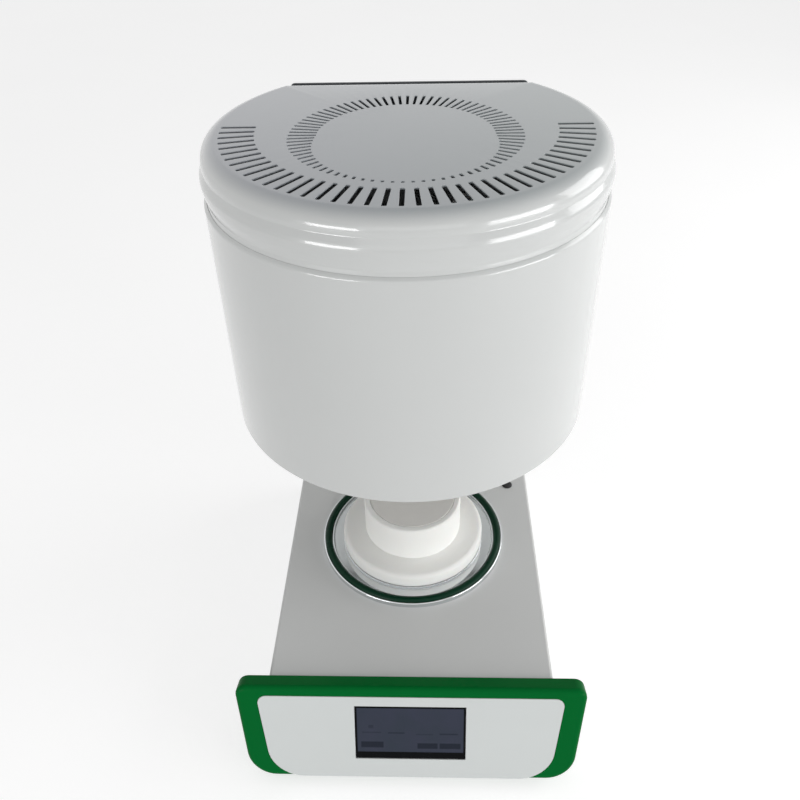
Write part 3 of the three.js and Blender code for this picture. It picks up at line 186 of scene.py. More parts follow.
def rounded(corners, roundings, segments):
    count = len(corners)
    for i, rounding in enumerate(roundings):
        if rounding:
            before = (corners[i - 1] - corners[i]).normalized()
            after = (corners[(i + 1) % count] - corners[i]).normalized()
            reach = rounding / math.tan(before.angle(after) / 2)
            pick("VERT", lambda item, at: same(at, corners[i]))
            bpy.ops.mesh.bevel(offset=reach, segments=segments, affect="VERTICES")


print("an outline is drawn point by point, then its corners are rounded")

# %% Turning
round_steps = 160


def turned(name, outline, ring=False, steps=round_steps, segments=5):
    """Spins (radius, height, rounding) points, all in metres, about the head's axis."""
    corners = [Vector((radius, axis_y, height)) for radius, height, _ in outline]
    piece = drawn(name, corners)
    if ring:
        pick("VERT", lambda item, at: same(at, corners[0]) or same(at, corners[-1]))
        bpy.ops.mesh.edge_face_add()
    rounded(corners, [rounding for _, _, rounding in outline], segments)
    bpy.ops.mesh.select_all(action="SELECT")
    bpy.ops.mesh.spin(steps=steps, angle=2 * math.pi, center=(0, axis_y, 0), axis=(0, 0, 1))
    return welded(piece)


def welded(piece):
    bpy.ops.mesh.select_all(action="SELECT")
    bpy.ops.mesh.remove_doubles(threshold=1e-7)
    bpy.ops.mesh.normals_make_consistent(inside=False)
    done()
    return piece


print("a full turn takes", round_steps, "steps")

# %% [markdown]
# ## Blocks, plates and cuts
# The other pieces start as a cube, a cylinder or a flat outline. A cut is a Boolean with a second
# shape that is then thrown away, and a soft edge is a Bevel that an angle limits. Each modifier is
# applied at once, so that what is left is a plain mesh with its place in its own points.

# %% Blocks
def block(name, low, high):
    low, high = Vector(low), Vector(high)
    bpy.ops.object.select_all(action="DESELECT")
    bpy.ops.mesh.primitive_cube_add(size=1, location=(low + high) / 2, scale=high - low)
    piece = bpy.context.object
    piece.name = name
    return settled(piece)


def rod(name, radius, bottom, top, at=(0, 0), steps=48):
    place = (at[0], at[1], (bottom + top) / 2)
    bpy.ops.object.select_all(action="DESELECT")
    bpy.ops.mesh.primitive_cylinder_add(
        vertices=steps, radius=radius, depth=top - bottom, location=place
    )
    piece = bpy.context.object
    piece.name = name
    return settled(piece)


def settled(piece):
    only(piece)
    bpy.ops.object.transform_apply(location=True, rotation=True, scale=True)
    return piece


print("blocks and rods are ready")


# %% Drums and plates
def flat_backed(name, radius, back, bottom, top):
    piece = rod(name, radius, bottom, top, (0, axis_y), round_steps)
    editing(piece)
    bpy.ops.mesh.bisect(plane_co=(0, back, 0), plane_no=(0, 1, 0), use_fill=True, clear_outer=True)
    done()
    return piece


def plate(name, corners, roundings, thickness, segments=10):
    """A flat outline in the plane z = 0, drawn up to its thickness."""
    points = [Vector((x, y, 0)) for x, y in corners]
    piece = drawn(name, points)
    pick("VERT", lambda item, at: same(at, points[0]) or same(at, points[-1]))
    bpy.ops.mesh.edge_face_add()
    rounded(points, roundings, segments)
    bpy.ops.mesh.select_all(action="SELECT")
    bpy.ops.mesh.edge_face_add()
    bpy.ops.mesh.select_all(action="SELECT")
    bpy.ops.mesh.extrude_region_move(TRANSFORM_OT_translate={"value": (0, 0, thickness)})
    return welded(piece)


print("drums and plates are ready")


# %% Cuts and soft edges
def modified(piece, kind, **settings):
    only(piece)
    modifier = piece.modifiers.new(kind.lower(), kind)
    for setting, value in settings.items():
        setattr(modifier, setting, value)
    bpy.ops.object.modifier_apply(modifier=modifier.name)
    return piece


def joined(pieces):
    only(pieces[0])
    for piece in pieces:
        piece.select_set(True)
    if len(pieces) > 1:
        bpy.ops.object.join()
    return pieces[0]


def cut(piece, *cutters, operation="DIFFERENCE"):
    for cutter in cutters:
        modified(piece, "BOOLEAN", object=cutter, operation=operation, solver="EXACT")
        bpy.data.objects.remove(cutter)


def soft(piece, width, segments=3, angle=35):
    return modified(
        piece, "BEVEL", width=width, segments=segments, limit_method="ANGLE",
        angle_limit=math.radians(angle), use_clamp_overlap=True, harden_normals=False,
    )


print("cuts and soft edges are ready")


# %% Copies and moves
def copied(piece, name):
    only(piece)
    bpy.ops.object.duplicate(linked=False)
    other = bpy.context.object
    other.name = name
    return other


def turned_by(piece, angle, axis="Z"):
    piece.matrix_world = Matrix.Rotation(angle, 4, axis)
    return settled(piece)


def moved(piece, by):
    piece.location = by
    return settled(piece)


print("copies and moves are ready")

# %% [markdown]
# ## Finishing a piece
# A finished piece gets smooth shading up to an angle, a material, and the body that it rides on.
# Where it stands for a plain solid, that solid is hidden. Weighted normals keep a large flat face
# flat where it meets a soft edge.

# %% Finishing
smooth_up_to = math.radians(40)
finished = []


def dressed_in(piece, look):
    piece.data.materials.clear()
    piece.data.materials.append(look.material)


def finish(piece, look, body, node=None):
    only(piece)
    bpy.ops.object.shade_smooth_by_angle(angle=smooth_up_to)
    modified(piece, "WEIGHTED_NORMAL", mode="FACE_AREA", weight=80, keep_sharp=True)
    dressed_in(piece, look)
    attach(piece, body)
    if node:
        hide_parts(node)
    finished.append(piece)
    print(piece.name, "has", len(piece.data.polygons), "faces")


# %% [markdown]
# ## Finishes
# A real surface is never one flat colour. Each finish here has one shader whose even values are
# set on its own sockets, and three soft variations: a large cloud that shifts the colour, the same
# cloud in the roughness, and a fine grain that lifts the surface a little. Both patterns lie on the
# object's own coordinates, in metres, so they stay put when the furnace moves.

# %% Colours
def srgb(red, green, blue):
    def linear(value):
        value /= 255
        return value / 12.92 if value <= 0.04045 else ((value + 0.055) / 1.055) ** 2.4

    return (linear(red), linear(green), linear(blue), 1)


def shade(colour, factor):
    return tuple(min(1, value * factor) for value in colour[:3]) + (1,)


print("a middle grey of 128 shines with", round(srgb(128, 128, 128)[0], 3))


# %% A finish and its nodes
class Finish:
    """A material under construction. Its nodes are added by kind, and their inputs are wired by
    name, or by number after an underscore."""

    def __init__(self, name, **even):
        self.material = bpy.data.materials.new(name)
        self.material.use_nodes = True
        self.nodes = self.material.node_tree.nodes
        self.shader = self.nodes["Principled BSDF"]
        for socket, value in even.items():
            self.shader.inputs[socket.replace("_", " ")].default_value = value

    def add(self, kind, settings=None, **inputs):
        node = self.nodes.new(kind)
        for setting, value in (settings or {}).items():
            setattr(node, setting, value)
        for name, value in inputs.items():
            key = int(name[1:]) if name[0] == "_" else name.replace("_", " ")
            self.feed(node.inputs[key], value)
        return node

    def feed(self, socket, value):
        if isinstance(value, bpy.types.NodeSocket):
            self.material.node_tree.links.new(value, socket)
        else:
            socket.default_value = value

    def paint(self, socket, value):
        """Wires a value to a socket of the shader."""
        self.feed(self.shader.inputs[socket], value)

    def place(self, settings=None, **mapping):
        where = self.add("ShaderNodeTexCoord").outputs["Object"]
        return self.add("ShaderNodeMapping", settings, Vector=where, **mapping).outputs[0]

    def from_axis(self):
        """The distance from the head's axis."""
        flat = self.place(Location=(0, -axis_y, 0), Scale=(1, 1, 0))
        return self.add("ShaderNodeVectorMath", {"operation": "LENGTH"}, _0=flat).outputs[1]

    def split(self, vector):
        return self.add("ShaderNodeSeparateXYZ", Vector=vector).outputs

    def noise(self, where, scale, detail=3):
        return self.add("ShaderNodeTexNoise", Vector=where, Scale=scale, Detail=detail).outputs[0]

    def number(self, operation, first, second=0.0):
        return self.add("ShaderNodeMath", {"operation": operation}, _0=first, _1=second).outputs[0]

    def between(self, value, low, high, start, end):
        """The value, taken from the span low to high to the span start to end."""
        limits = {"_1": low, "_2": high, "_3": start, "_4": end}
        return self.add("ShaderNodeMapRange", _0=value, **limits).outputs[0]

    def mixed(self, factor, first, second):
        """A mix of two colours, whose sockets on a Mix node are number 6 and 7."""
        node = self.add("ShaderNodeMix", {"data_type": "RGBA"})
        self.feed(node.inputs[0], factor)
        self.feed(node.inputs[6], first)
        self.feed(node.inputs[7], second)
        return node.outputs[2]

    def bump(self, height, strength, distance, normal=None):
        node = self.add("ShaderNodeBump", Strength=strength, Distance=distance, Height=height)
        if normal:
            self.feed(node.inputs["Normal"], normal)
        return node.outputs[0]


print("materials so far:", len(bpy.data.materials))


# %% Clouds and grain
def surface(name, colour, roughness, cloud=12, shift=0.04, spread=0.05, grain=900, depth=0.02,
            lift=0.1, scale=(1, 1, 1), **even):
    """A finish with cloudy colour and roughness and a fine grain, as most pieces here have."""
    made = Finish(name, **even)
    where = made.place(Scale=scale)
    clouds = made.noise(where, cloud)
    made.colour = made.mixed(clouds, shade(colour, 1 - shift), shade(colour, 1 + shift))
    made.paint("Base Color", made.colour)
    rough = made.between(clouds, 0.3, 0.7, roughness - spread, roughness + spread)
    made.paint("Roughness", rough)
    fine = made.noise(where, grain, 2)
    made.normal = made.bump(fine, lift, depth * mm)
    made.paint("Normal", made.normal)
    return made


print("finishes can be mixed")

# %% [markdown]
# ## Light and floor
# A furnace in a catalogue stands in a bright room with low windows and a dim ceiling, so its walls
# come out lighter than its flat tops. Here the room is a plain pale world, and soft lamps low at
# the sides stand for the windows: the small one at the left draws the streaks on the shoulder of
# the head. The camera and all that mirrors see the room as white, while the object gets only the
# plain level. The floor is pale, and it shows white to the camera except where the furnace shades
# it.

# %% World
room_level = 0.365

world = bpy.data.worlds.new("room")
bpy.context.scene.world = world
world.use_nodes = True
tree = world.node_tree


def seen_directly(tree):
    """One for rays from the camera and for mirrored and refracted ones, nought for others."""
    path = tree.nodes.new("ShaderNodeLightPath")
    answer = path.outputs["Is Camera Ray"]
    for kind in ("Is Glossy Ray", "Is Transmission Ray"):
        either = tree.nodes.new("ShaderNodeMath")
        either.operation = "MAXIMUM"
        tree.links.new(answer, either.inputs[0])
        tree.links.new(path.outputs[kind], either.inputs[1])
        answer = either.outputs[0]
    return answer


choose = tree.nodes.new("ShaderNodeMixShader")
tree.links.new(seen_directly(tree), choose.inputs[0])
backgrounds = (tree.nodes["Background"], tree.nodes.new("ShaderNodeBackground"))
for number, (background, level) in enumerate(zip(backgrounds, (room_level, 1))):
    background.inputs["Color"].default_value = (1, 1, 1, 1)
    background.inputs["Strength"].default_value = level
    tree.links.new(background.outputs[0], choose.inputs[number + 1])
tree.links.new(choose.outputs[0], tree.nodes["World Output"].inputs["Surface"])
bpy.context.scene.view_settings.view_transform = "Standard"
print("room level", room_level)

# %% Lamps
lamp_aim = Vector((0, axis_y, 0.4))


def window(name, azimuth, elevation, distance, width, height, power):
    """A soft rectangular lamp; azimuth is counted from the front, to the right."""
    turn, rise = math.radians(azimuth), math.radians(elevation)
    level = math.cos(rise)
    away = Vector((math.sin(turn) * level, -math.cos(turn) * level, math.sin(rise)))
    data = bpy.data.lights.new(name, "AREA")
    data.shape = "RECTANGLE"
    data.size, data.size_y, data.energy = width, height, power
    lamp = bpy.data.objects.new(name, data)
    bpy.context.scene.collection.objects.link(lamp)
    lamp.location = lamp_aim + away * distance
    lamp.rotation_euler = away.to_track_quat("Z", "Y").to_euler()


window("left window", -36, -1.5, 1.8, 0.85, 0.36, 8)
window("right window", 60, -1, 1.8, 1.2, 0.6, 13)
window("side light", 106, 14, 2, 1.2, 1.2, 11.5)
window("front light", 4, 12, 2.6, 2.6, 1, 6)
print("lamps:", len(bpy.data.lights))

# %% Floor
floor_reach = 9
floor_glow = 0.62
floor = block("floor", (-floor_reach, -floor_reach, -0.02), (floor_reach, floor_reach, 0))
floor_finish = Finish(
    "pale floor", Roughness=0.9, Specular_IOR_Level=0.1, Emission_Color=(1, 1, 1, 1)
)
clouds = floor_finish.noise(floor_finish.place(), 3)
floor_grey = floor_finish.mixed(clouds, (0.6, 0.6, 0.6, 1), (0.64, 0.64, 0.64, 1))
floor_finish.paint("Base Color", floor_grey)
direct = seen_directly(floor_finish.material.node_tree)
glow = floor_finish.number("MULTIPLY", direct, floor_glow)
floor_finish.paint("Emission Strength", glow)
dressed_in(floor, floor_finish)
print("the floor lies at z = 0")

# %% [markdown]
# ## The top cover of the head
# The head wears a deep-drawn steel cover: a flat top, a shoulder, a rounded bead below it, and a
# neck that draws in to the seam. A narrow skirt goes on down inside the sleeve and holds the cover
# in place. It is spun like a hat, then cut flat at the back with a rounded rear edge and a step for
# the skirt. The open shell gets the thickness of its sheet before the vents are punched, so that
# each slot shows a real edge.

# %% The shape of the cover
sheet = 1.5 * mm
cover_sheet = 1 * mm
cover_foot = 39.5 * mm
skirt = 8 * mm
neck = 2.4 * mm
shoulder = 15 * mm

cover = turned("top_cover", [
    (0, head_top - cover_foot - skirt, 0), (head_radius - neck, head_top - cover_foot - skirt, 0),
    (head_radius - neck, head_top - cover_foot, 0),
    (head_radius - 2.9 * mm, head_top - 36.5 * mm, 4 * mm),
    (head_radius, head_top - 26.5 * mm, 30 * mm), (head_radius, head_top - 20.5 * mm, 14 * mm),
    (head_radius - 2.6 * mm, head_top - 14.3 * mm, 2 * mm),
    (head_radius - 1.7 * mm, head_top, 12 * mm), (0, head_top, 0),
], segments=10)

rear_block = block(
    "rear_block",
    (-1.2 * head_radius, -2 * head_radius, head_top - 2 * cover_foot),
    (1.2 * head_radius, flat_back, head_top),
)
rear_step = block(
    "rear_step",
    (-2 * head_radius, flat_back - neck, head_top - 3 * cover_foot),
    (2 * head_radius, flat_back + cover_foot, head_top - cover_foot),
)
cut(rear_block, rear_step)
editing(rear_block)
bevel_edges(shoulder, 10, lambda item, at: at.y > flat_back - mm and at.z > head_top - mm)
done()
cut(cover, rear_block, operation="INTERSECT")

editing(cover)
pick("FACE", lambda item, at: item.normal.z < -0.9 and at.z < head_top - cover_foot - mm)
bpy.ops.mesh.delete(type="FACE")
done()
modified(cover, "SOLIDIFY", thickness=cover_sheet, offset=-1, use_even_offset=True)
print("cover faces before the vents:", len(cover.data.polygons))

# %% [markdown]
# ## The vents
# Forty-one long slots run round the front half, and a full ring of finer slots lies inside them.
# The inner ring stands further forward, and its slots grow shorter towards the front. One cutter
# has eased corners and a flared top, which leaves a small bevel on each slot as the press tool
# does.

# %% One slot cutter
flare = 0.3 * mm
corner_share = 0.3


def slot_cutter(inner, outer, width):
    low = (inner, -width / 2, head_top - 4 * sheet)
    cutter = block("slot", low, (outer, width / 2, head_top - flare))
    editing(cutter)
    bevel_edges(corner_share * width, 3, lambda item, at: run(item, "z") > mm)
    pick("FACE", lambda item, at: item.normal.z > 0.9)
    length = outer - inner
    grown = ((length + 4 * flare) / length, (width + 4 * flare) / width, 1)
    bpy.ops.mesh.extrude_region_move(TRANSFORM_OT_translate={"value": (0, 0, 2 * flare)})
    bpy.ops.transform.resize(value=grown, center_override=((inner + outer) / 2, 0, head_top))
    done()
    return cutter


print("each slot flares by", round(flare / mm, 1), "mm")

# %% The outer half ring and the inner ring
outer_count = 41
outer_start, outer_end, outer_width = 108.3 * mm, 133.6 * mm, 3.2 * mm
inner_count = 80
inner_length, inner_end, inner_width = 20 * mm, 83 * mm, 2.1 * mm
inner_forward = 17 * mm
shortening = 0.9
slots = []
model_slot = slot_cutter(outer_start, outer_end, outer_width)
for i in range(outer_count):
    slot = copied(model_slot, "outer_slot")
    turned_by(slot, -math.pi * i / (outer_count - 1))
    slots.append(moved(slot, (0, axis_y, 0)))
bpy.data.objects.remove(model_slot)
for i in range(inner_count):
    angle = 2 * math.pi * i / inner_count
    towards_front = max(0, -math.sin(angle))
    length = inner_length * (1 - shortening * towards_front**1.2)
    slot = turned_by(slot_cutter(inner_end - length, inner_end, inner_width), angle)
    slots.append(moved(slot, (0, axis_y - inner_forward, 0)))
print("slot cutters:", len(slots))
cut(cover, joined(slots))

# %% [markdown]
# ## Enamel
# The head is painted with a hard glossy white enamel. Its flat top is coloured a shade greyer,
# which is painted shade for the dim light from above, with a tint that shifts a little from left to
# right.
# The grey ends on the bend of the shoulder, so the colour changes there with the distance from the
# axis.

# %% White enamel
white = srgb(209, 211, 210)
top_shade_left, top_shade_right = srgb(176, 180, 188), srgb(176, 185, 186)
top_shade_to, white_from = 137 * mm, 146 * mm


def enamel(name):
    return surface(
        name, white, 0.2, cloud=7, shift=0.012, spread=0.02, grain=260, depth=0.03, lift=0.12,
        Coat_Weight=0.7, Coat_Roughness=0.08,
    )


sleeve_enamel = enamel("white enamel")
cover_enamel = enamel("white enamel with painted top shade")
# The grey on the flat top is painted shade for the dim light from above. Its tint shifts from left
# to right, and it gives way to the white over the shoulder.
whiteness = cover_enamel.between(cover_enamel.from_axis(), top_shade_to, white_from, 0, 1)
to_right = cover_enamel.split(cover_enamel.place())[0]
to_right = cover_enamel.between(to_right, -head_radius, head_radius, 0, 1)
grey = cover_enamel.mixed(to_right, top_shade_left, top_shade_right)
painted = cover_enamel.mixed(whiteness, grey, cover_enamel.colour)
cover_enamel.paint("Base Color", painted)
finish(cover, cover_enamel, "head", "head_top_cover")

# %% [markdown]
# ## The sleeve of the head
# The wall below the seam is a rolled sheet with a welded flat back. It is a flat-backed drum minus
# a smaller one, and a lip turns inwards at both ends: the lower one carries the floor, and the
# upper one closes round the neck of the cover. The wall slopes in at the top to meet that neck, and
# the soft bend below the slope catches the light as a thin bright line.

# %% Sleeve
lip = 8 * mm
fit = neck - 0.1 * mm
bend_z = sleeve_high.z - 2 * mm
slope_in = 0.986
near, wall_near = 0.1 * mm, 0.8 * mm


def drum(name, inset, bottom, top):
    return flat_backed(name, head_radius - inset, flat_back - inset, bottom, top)


def outside(at):
    """Whether a place lies on the outer wall, or almost."""
    from_axis = Vector((at.x, at.y - axis_y)).length
    return from_axis > head_radius - wall_near or at.y > flat_back - wall_near


sleeve = drum("sleeve", 0, sleeve_low.z, sleeve_high.z)
cut(
    sleeve,
    drum("hollow", sheet, sleeve_low.z + sheet, bend_z),
    drum("mouth", lip, sleeve_low.z - lip, sleeve_high.z - lip),
    drum("collar", fit, sleeve_high.z - lip, sleeve_high.z + lip),
)
editing(sleeve)
bpy.ops.mesh.bisect(plane_co=(0, 0, bend_z), plane_no=(0, 0, 1))
pick("VERT", lambda item, at: at.z > sleeve_high.z - near and outside(at))
bpy.ops.transform.resize(
    value=(slope_in, slope_in, 1), center_override=(0, axis_y, sleeve_high.z)
)
bevel_edges(1.2 * mm, 6, lambda item, at: outside(at)
            and (abs(at.z - bend_z) < near or at.z < sleeve_low.z + near))
done()
finish(sleeve, sleeve_enamel, "head", "head_sleeve")

# %% [markdown]
# ## The back plate
# A dark plate closes the flat back of the head, and its top edge shows above the cover from the
# front. It has rounded corners, and four pan-head screws hold it.

# %% Dark paint and the back plate
dark_paint = surface(
    "dark paint", srgb(84, 87, 90), 0.42, cloud=20, shift=0.06, grain=1800, depth=0.05, lift=0.3
)
back_low, back_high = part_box("head_back_plate")
back_plate = block("back_plate", back_low, back_high)
editing(back_plate)
bevel_edges(4 * mm, 5, lambda item, at: run(item, "y") > mm)
done()
soft(back_plate, 0.4 * mm, 2)
finish(back_plate, dark_paint, "head", "head_back_plate")

# %% [markdown]
# ## The base cover
# The base is a folded steel sheet with a satin grey powder coat: a flat top and two sides with a
# small bend radius between them, cut off along the lean of the front panel. The folded form is a
# block with two bevelled edges, opened at the bottom and both ends and given its thickness.

# %% The lean of the front
panel_lean = math.radians(20)
crease_y = axis_y - 183.6 * mm
crease_z = base_high.z + 7.5 * mm


def on_panel(across, up, out):
    """A point on the leaning panel: across and up from its crease's middle, and out of it."""
    cos, sin = math.cos(panel_lean), math.sin(panel_lean)
    return Vector((across, crease_y + up * sin - out * cos, crease_z + up * cos + out * sin))


panel_normal = on_panel(0, 0, 1) - on_panel(0, 0, 0)
print("panel faces", [round(v, 2) for v in panel_normal])

# %% Base cover
bend = 3 * mm
spigot_hole = 30.5 * mm
behind_bezel = -16.8 * mm
base_cover = block("base_cover_sheet", (base_low.x, base_low.y - bend, base_low.z), base_high)
editing(base_cover)
bevel_edges(bend, 6, lambda item, at: at.z > base_high.z - mm and abs(at.x) > base_high.x - mm)
bpy.ops.mesh.select_all(action="SELECT")
bpy.ops.mesh.bisect(
    plane_co=on_panel(0, 0, behind_bezel), plane_no=panel_normal, use_fill=True, clear_outer=True
)
pick("FACE", lambda item, at: item.normal.z < -0.9 or abs(item.normal.y) > 0.9)
bpy.ops.mesh.delete(type="FACE")
done()
modified(base_cover, "SOLIDIFY", thickness=sheet, offset=-1, use_even_offset=True)
cut(base_cover, rod("hole", spigot_hole, base_high.z - bend, base_high.z + bend, (0, axis_y)))
soft(base_cover, 0.3 * mm, 2, 60)
print("base cover", round(2 * base_high.x / mm, 1), "mm wide")

# %% Powder coat
powder_coat = surface(
    "grey powder coat", srgb(221, 222, 221), 0.36, cloud=9, shift=0.03, grain=2200, depth=0.06,
    lift=0.35,
)
finish(base_cover, powder_coat, "base", "base_cover")

# %% [markdown]
# ## The green bezel
# The front is a deep moulded frame in glossy green, wider at the top. It is drawn flat in
# millimetres, with small radii at the top and large ones below, given its depth and rounded in
# front. A pocket takes the fascia, the back is hollow, and four bosses carry the display.

# %% Panel outlines
def panel_shape(name, tops, bottoms, depths):
    """A tapering plate. Its top and its bottom are each a drop, a half width and a corner radius;
    its depths are its back and its front."""
    rows = [(-1, *bottoms), (1, *bottoms), (1, *tops), (-1, *tops)]
    corners = [(side * half * mm, -drop * mm) for side, drop, half, _ in rows]
    back, front = depths
    shape = plate(name, corners, [rounding * mm for *_, rounding in rows], (front - back) * mm)
    return moved(shape, (0, 0, back * mm))


def panel_block(name, left, right, bottom, top, back, front):
    low = (left * mm, bottom * mm, back * mm)
    return block(name, low, (right * mm, top * mm, front * mm))


def leaned(piece):
    piece.rotation_euler = (math.pi / 2 - panel_lean, 0, 0)
    piece.location = (0, crease_y, crease_z)
    return settled(piece)


print("the panel leans back by", round(math.degrees(panel_lean)), "degrees")

# %% Bezel
bezel = panel_shape("bezel", (0, 154.5, 10), (96, 144.4, 26), (-16.5, 0))
editing(bezel)
bevel_edges(4.2 * mm, 7, lambda item, at: at.z > -0.1 * mm)
done()
cut(
    bezel,
    panel_shape("pocket", (8.7, 135, 8.3), (95.3, 124.3, 31.3), (-3, 5)),
    panel_shape("hollow", (3, 151.5, 7), (93, 141.4, 23), (-25, -6)),
    panel_block("module_hole", -53.05, 53.05, -80.6, -12.8, -20, 5),
)
bosses = [
    rod("boss", 4.5 * mm, -16.5 * mm, -5 * mm, (x * mm, y * mm), 24)
    for x in (-112, 112)
    for y in (-16, -78)
]
cut(bezel, joined(bosses), operation="UNION")
soft(bezel, 0.35 * mm, 2, 50)
leaned(bezel)
print("bezel with", len(bosses), "bosses")

# %% Green plastic
green = surface(
    "green plastic", srgb(2, 104, 44), 0.24, cloud=14, shift=0.05, spread=0.03, grain=1500,
    lift=0.15, Specular_IOR_Level=0.03,
)
finish(bezel, green, "base", "front_bezel")

# %% [markdown]
# ## The fascia
# A light plastic plate lies in the pocket of the bezel. It has the same outline a few millimetres
# smaller, and a window for the display.

# %% Fascia
fascia = panel_shape("fascia", (9, 134.7, 8), (95, 124, 31), (-2.7, 0.3))
cut(fascia, panel_block("window", -48.95, 48.95, -74.7, -18.7, -9, 9))
soft(fascia, 0.4 * mm, 3, 50)
leaned(fascia)
fascia_plastic = surface(
    "fascia plastic", srgb(217, 221, 220), 0.34, cloud=10, shift=0.015, grain=2600, lift=0.25
)
finish(fascia, fascia_plastic, "base", "front_fascia")

# %% [markdown]
# ## The touch display
# The display is a flat glass with a black rim, wider at the bottom. Behind it the lit area shows a
# dim blue-grey page with plain bars and lines and no words. The page is painted in millimetres of
# the panel's own plane: a Mapping node of the Texture kind turns the furnace's coordinates back
# into that plane.

# %% Display glass
display = panel_block("display", -48.65, 48.65, -74.4, -19, -2.1, -0.3)
soft(display, 0.25 * mm, 2)
leaned(display)
screen = Finish("display glass", Roughness=0.12, Specular_IOR_Level=0.05)
page = screen.place(
    {"vector_type": "TEXTURE"},
    Location=(0, crease_y, crease_z),
    Rotation=(math.pi / 2 - panel_lean, 0, 0),
    Scale=(mm, mm, mm),
)
across, along = screen.split(page)[:2]


def patch(left, right, bottom, top, fade=0.5):
    """One inside a rectangle of the page, nought outside, with soft edges."""
    inside = []
    for place, low, high in ((across, left, right), (along, bottom, top)):
        away = screen.number("ABSOLUTE", screen.number("SUBTRACT", place, (low + high) / 2))
        half = (high - low) / 2
        inside.append(screen.between(away, half - fade, half + fade, 1, 0))
    return screen.number("MULTIPLY", *inside)


print("display glass", [round(side / mm, 1) for side in display.dimensions], "mm")

# %% The page on the display
page_clouds = screen.noise(page, 0.035, 2)
lit_page = screen.mixed(page_clouds, srgb(54, 63, 72), srgb(66, 67, 85))
mark_colour = srgb(26, 32, 42)
rim = srgb(8, 10, 12)
page_marks = [
    (-43.7, -23.8, -62.8, -56.4, 0.72),
    (6.3, 24.1, -63.6, -57.7, 0.72),
    (25.9, 44.4, -63.6, -57.7, 0.72),
    (-42.6, -25.9, -47.2, -45.9, 0.35),
    (-19.6, -4.9, -47.6, -46.2, 0.5),
    (4.9, 20.3, -48.8, -47.6, 0.3),
    (25.9, 42, -48.4, -47, 0.55),
    (-36.9, -32.5, -42, -38.6, 0.35),
]
for *rectangle, weight in page_marks:
    mark = screen.number("MULTIPLY", patch(*rectangle), weight)
    lit_page = screen.mixed(mark, lit_page, mark_colour)
lit_area = patch(-46.9, 46.9, -67.4, -20.8, 0.3)
screen.paint("Base Color", screen.mixed(lit_area, rim, lit_page))
finish(display, screen, "base", "display_glass")

# %% [markdown]
# ## Platter and seal ring
# The work stands on a turned and polished steel platter. Its rim is chamfered, a groove holds the
# green silicone ring that seals the chamber, and the middle is dished. The ring is flat below and
# round on top.

# %% Platter
deck = base_high.z
nipple_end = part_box("platter")[0].z
spigot_end = deck - 8 * mm
rim_top = deck + 5.5 * mm
groove_floor = deck + 3.2 * mm
dish_floor = deck + 2.5 * mm
groove_in, groove_out, rim_edge = 83.4 * mm, 91.3 * mm, 92.6 * mm
platter = turned("platter_plate", [
    (0, nipple_end, 0), (4 * mm, nipple_end, 0.5 * mm), (4 * mm, spigot_end, 0),
    (30 * mm, spigot_end, 1 * mm), (30 * mm, deck, 0), (rim_edge, deck, 0.3 * mm),
    (rim_edge, rim_top, 1 * mm), (groove_out, rim_top, 0.2 * mm), (groove_out, groove_floor, 0),
    (groove_in, groove_floor, 0), (groove_in, rim_top, 0.3 * mm), (82.2 * mm, rim_top, 0.3 * mm),
    (81.5 * mm, dish_floor, 1 * mm), (0, dish_floor, 0),
])

print("platter rim", round((rim_top - deck) / mm, 1), "mm above the base")

# %% Polished steel with turning marks
# The fine marks run round the axis, as a lathe leaves them.
fineness, mark_depth = 1600, 0.008 * mm
polished_steel = surface(
    "polished steel", (0.66, 0.68, 0.69, 1), 0.1, cloud=25, shift=0.03, spread=0.03, Metallic=1
)
height = polished_steel.split(polished_steel.place())[2]
track = polished_steel.add("ShaderNodeCombineXYZ", X=polished_steel.from_axis(), Y=height)
lines = polished_steel.noise(track.outputs[0], fineness, 2)
marked = polished_steel.bump(lines, 0.35, mark_depth, polished_steel.normal)
polished_steel.paint("Normal", marked)
finish(platter, polished_steel, "base", "platter")

# %% Seal ring
seal_in, seal_out = 83.7 * mm, 91 * mm
seal_bottom, seal_top = deck + 3.5 * mm, deck + 8.2 * mm
ring = turned("seal", [
    (seal_in, seal_bottom, 0.3 * mm), (seal_out, seal_bottom, 0.3 * mm),
    (seal_out, seal_top, 3.6 * mm), (seal_in, seal_top, 3.6 * mm),
], ring=True, segments=7)
green_silicone = surface(
    "green silicone", srgb(2, 46, 29), 0.3, cloud=30, shift=0.08, spread=0.06, grain=1400,
    depth=0.03, lift=0.3, Specular_IOR_Level=0.12,
)
finish(ring, green_silicone, "base", "seal_ring")

# %% [markdown]
# ## The firing pedestal
# A thin steel plate carries two blocks of soft white refractory: a broad disc with a rounded rim
# and a cylinder with a grey firing disc in its top. Refractory is pressed fibre and clay, so it is
# matt and slightly rough, with shallow pits, and its edges are never sharp.

# %% White refractory
refractory = surface(
    "white refractory", srgb(247, 246, 243), 0.82, cloud=22, shift=0.02, grain=520, depth=0.35,
    lift=0.35, Subsurface_Weight=0.04,
)
pits = refractory.add("ShaderNodeTexVoronoi", Vector=refractory.place(), Scale=230).outputs[0]
pit_shape = refractory.between(pits, 0.05, 0.3, 0, 1)
pit_depth = 0.3 * mm
pitted = refractory.bump(pit_shape, 0.12, pit_depth, refractory.normal)
refractory.paint("Normal", pitted)
print("pits up to", round(pit_depth / mm, 1), "mm deep")

# %% Pedestal
carrier_low, carrier_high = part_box("pedestal_plate")
lower_low, lower_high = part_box("pedestal_lower")
upper_low, upper_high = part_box("pedestal_upper")
lower_radius, upper_radius = 71.2 * mm, 48.3 * mm
seat = disc_high.x + 0.3 * mm
seat_floor = upper_high.z - 2 * mm


def puck(name, radius, low, high, foot_rounding, top_rounding, segments=5):
    wall = [(radius, low, foot_rounding), (radius, high, top_rounding)]
    return turned(name, [(0, low, 0), *wall, (0, high, 0)], segments=segments)


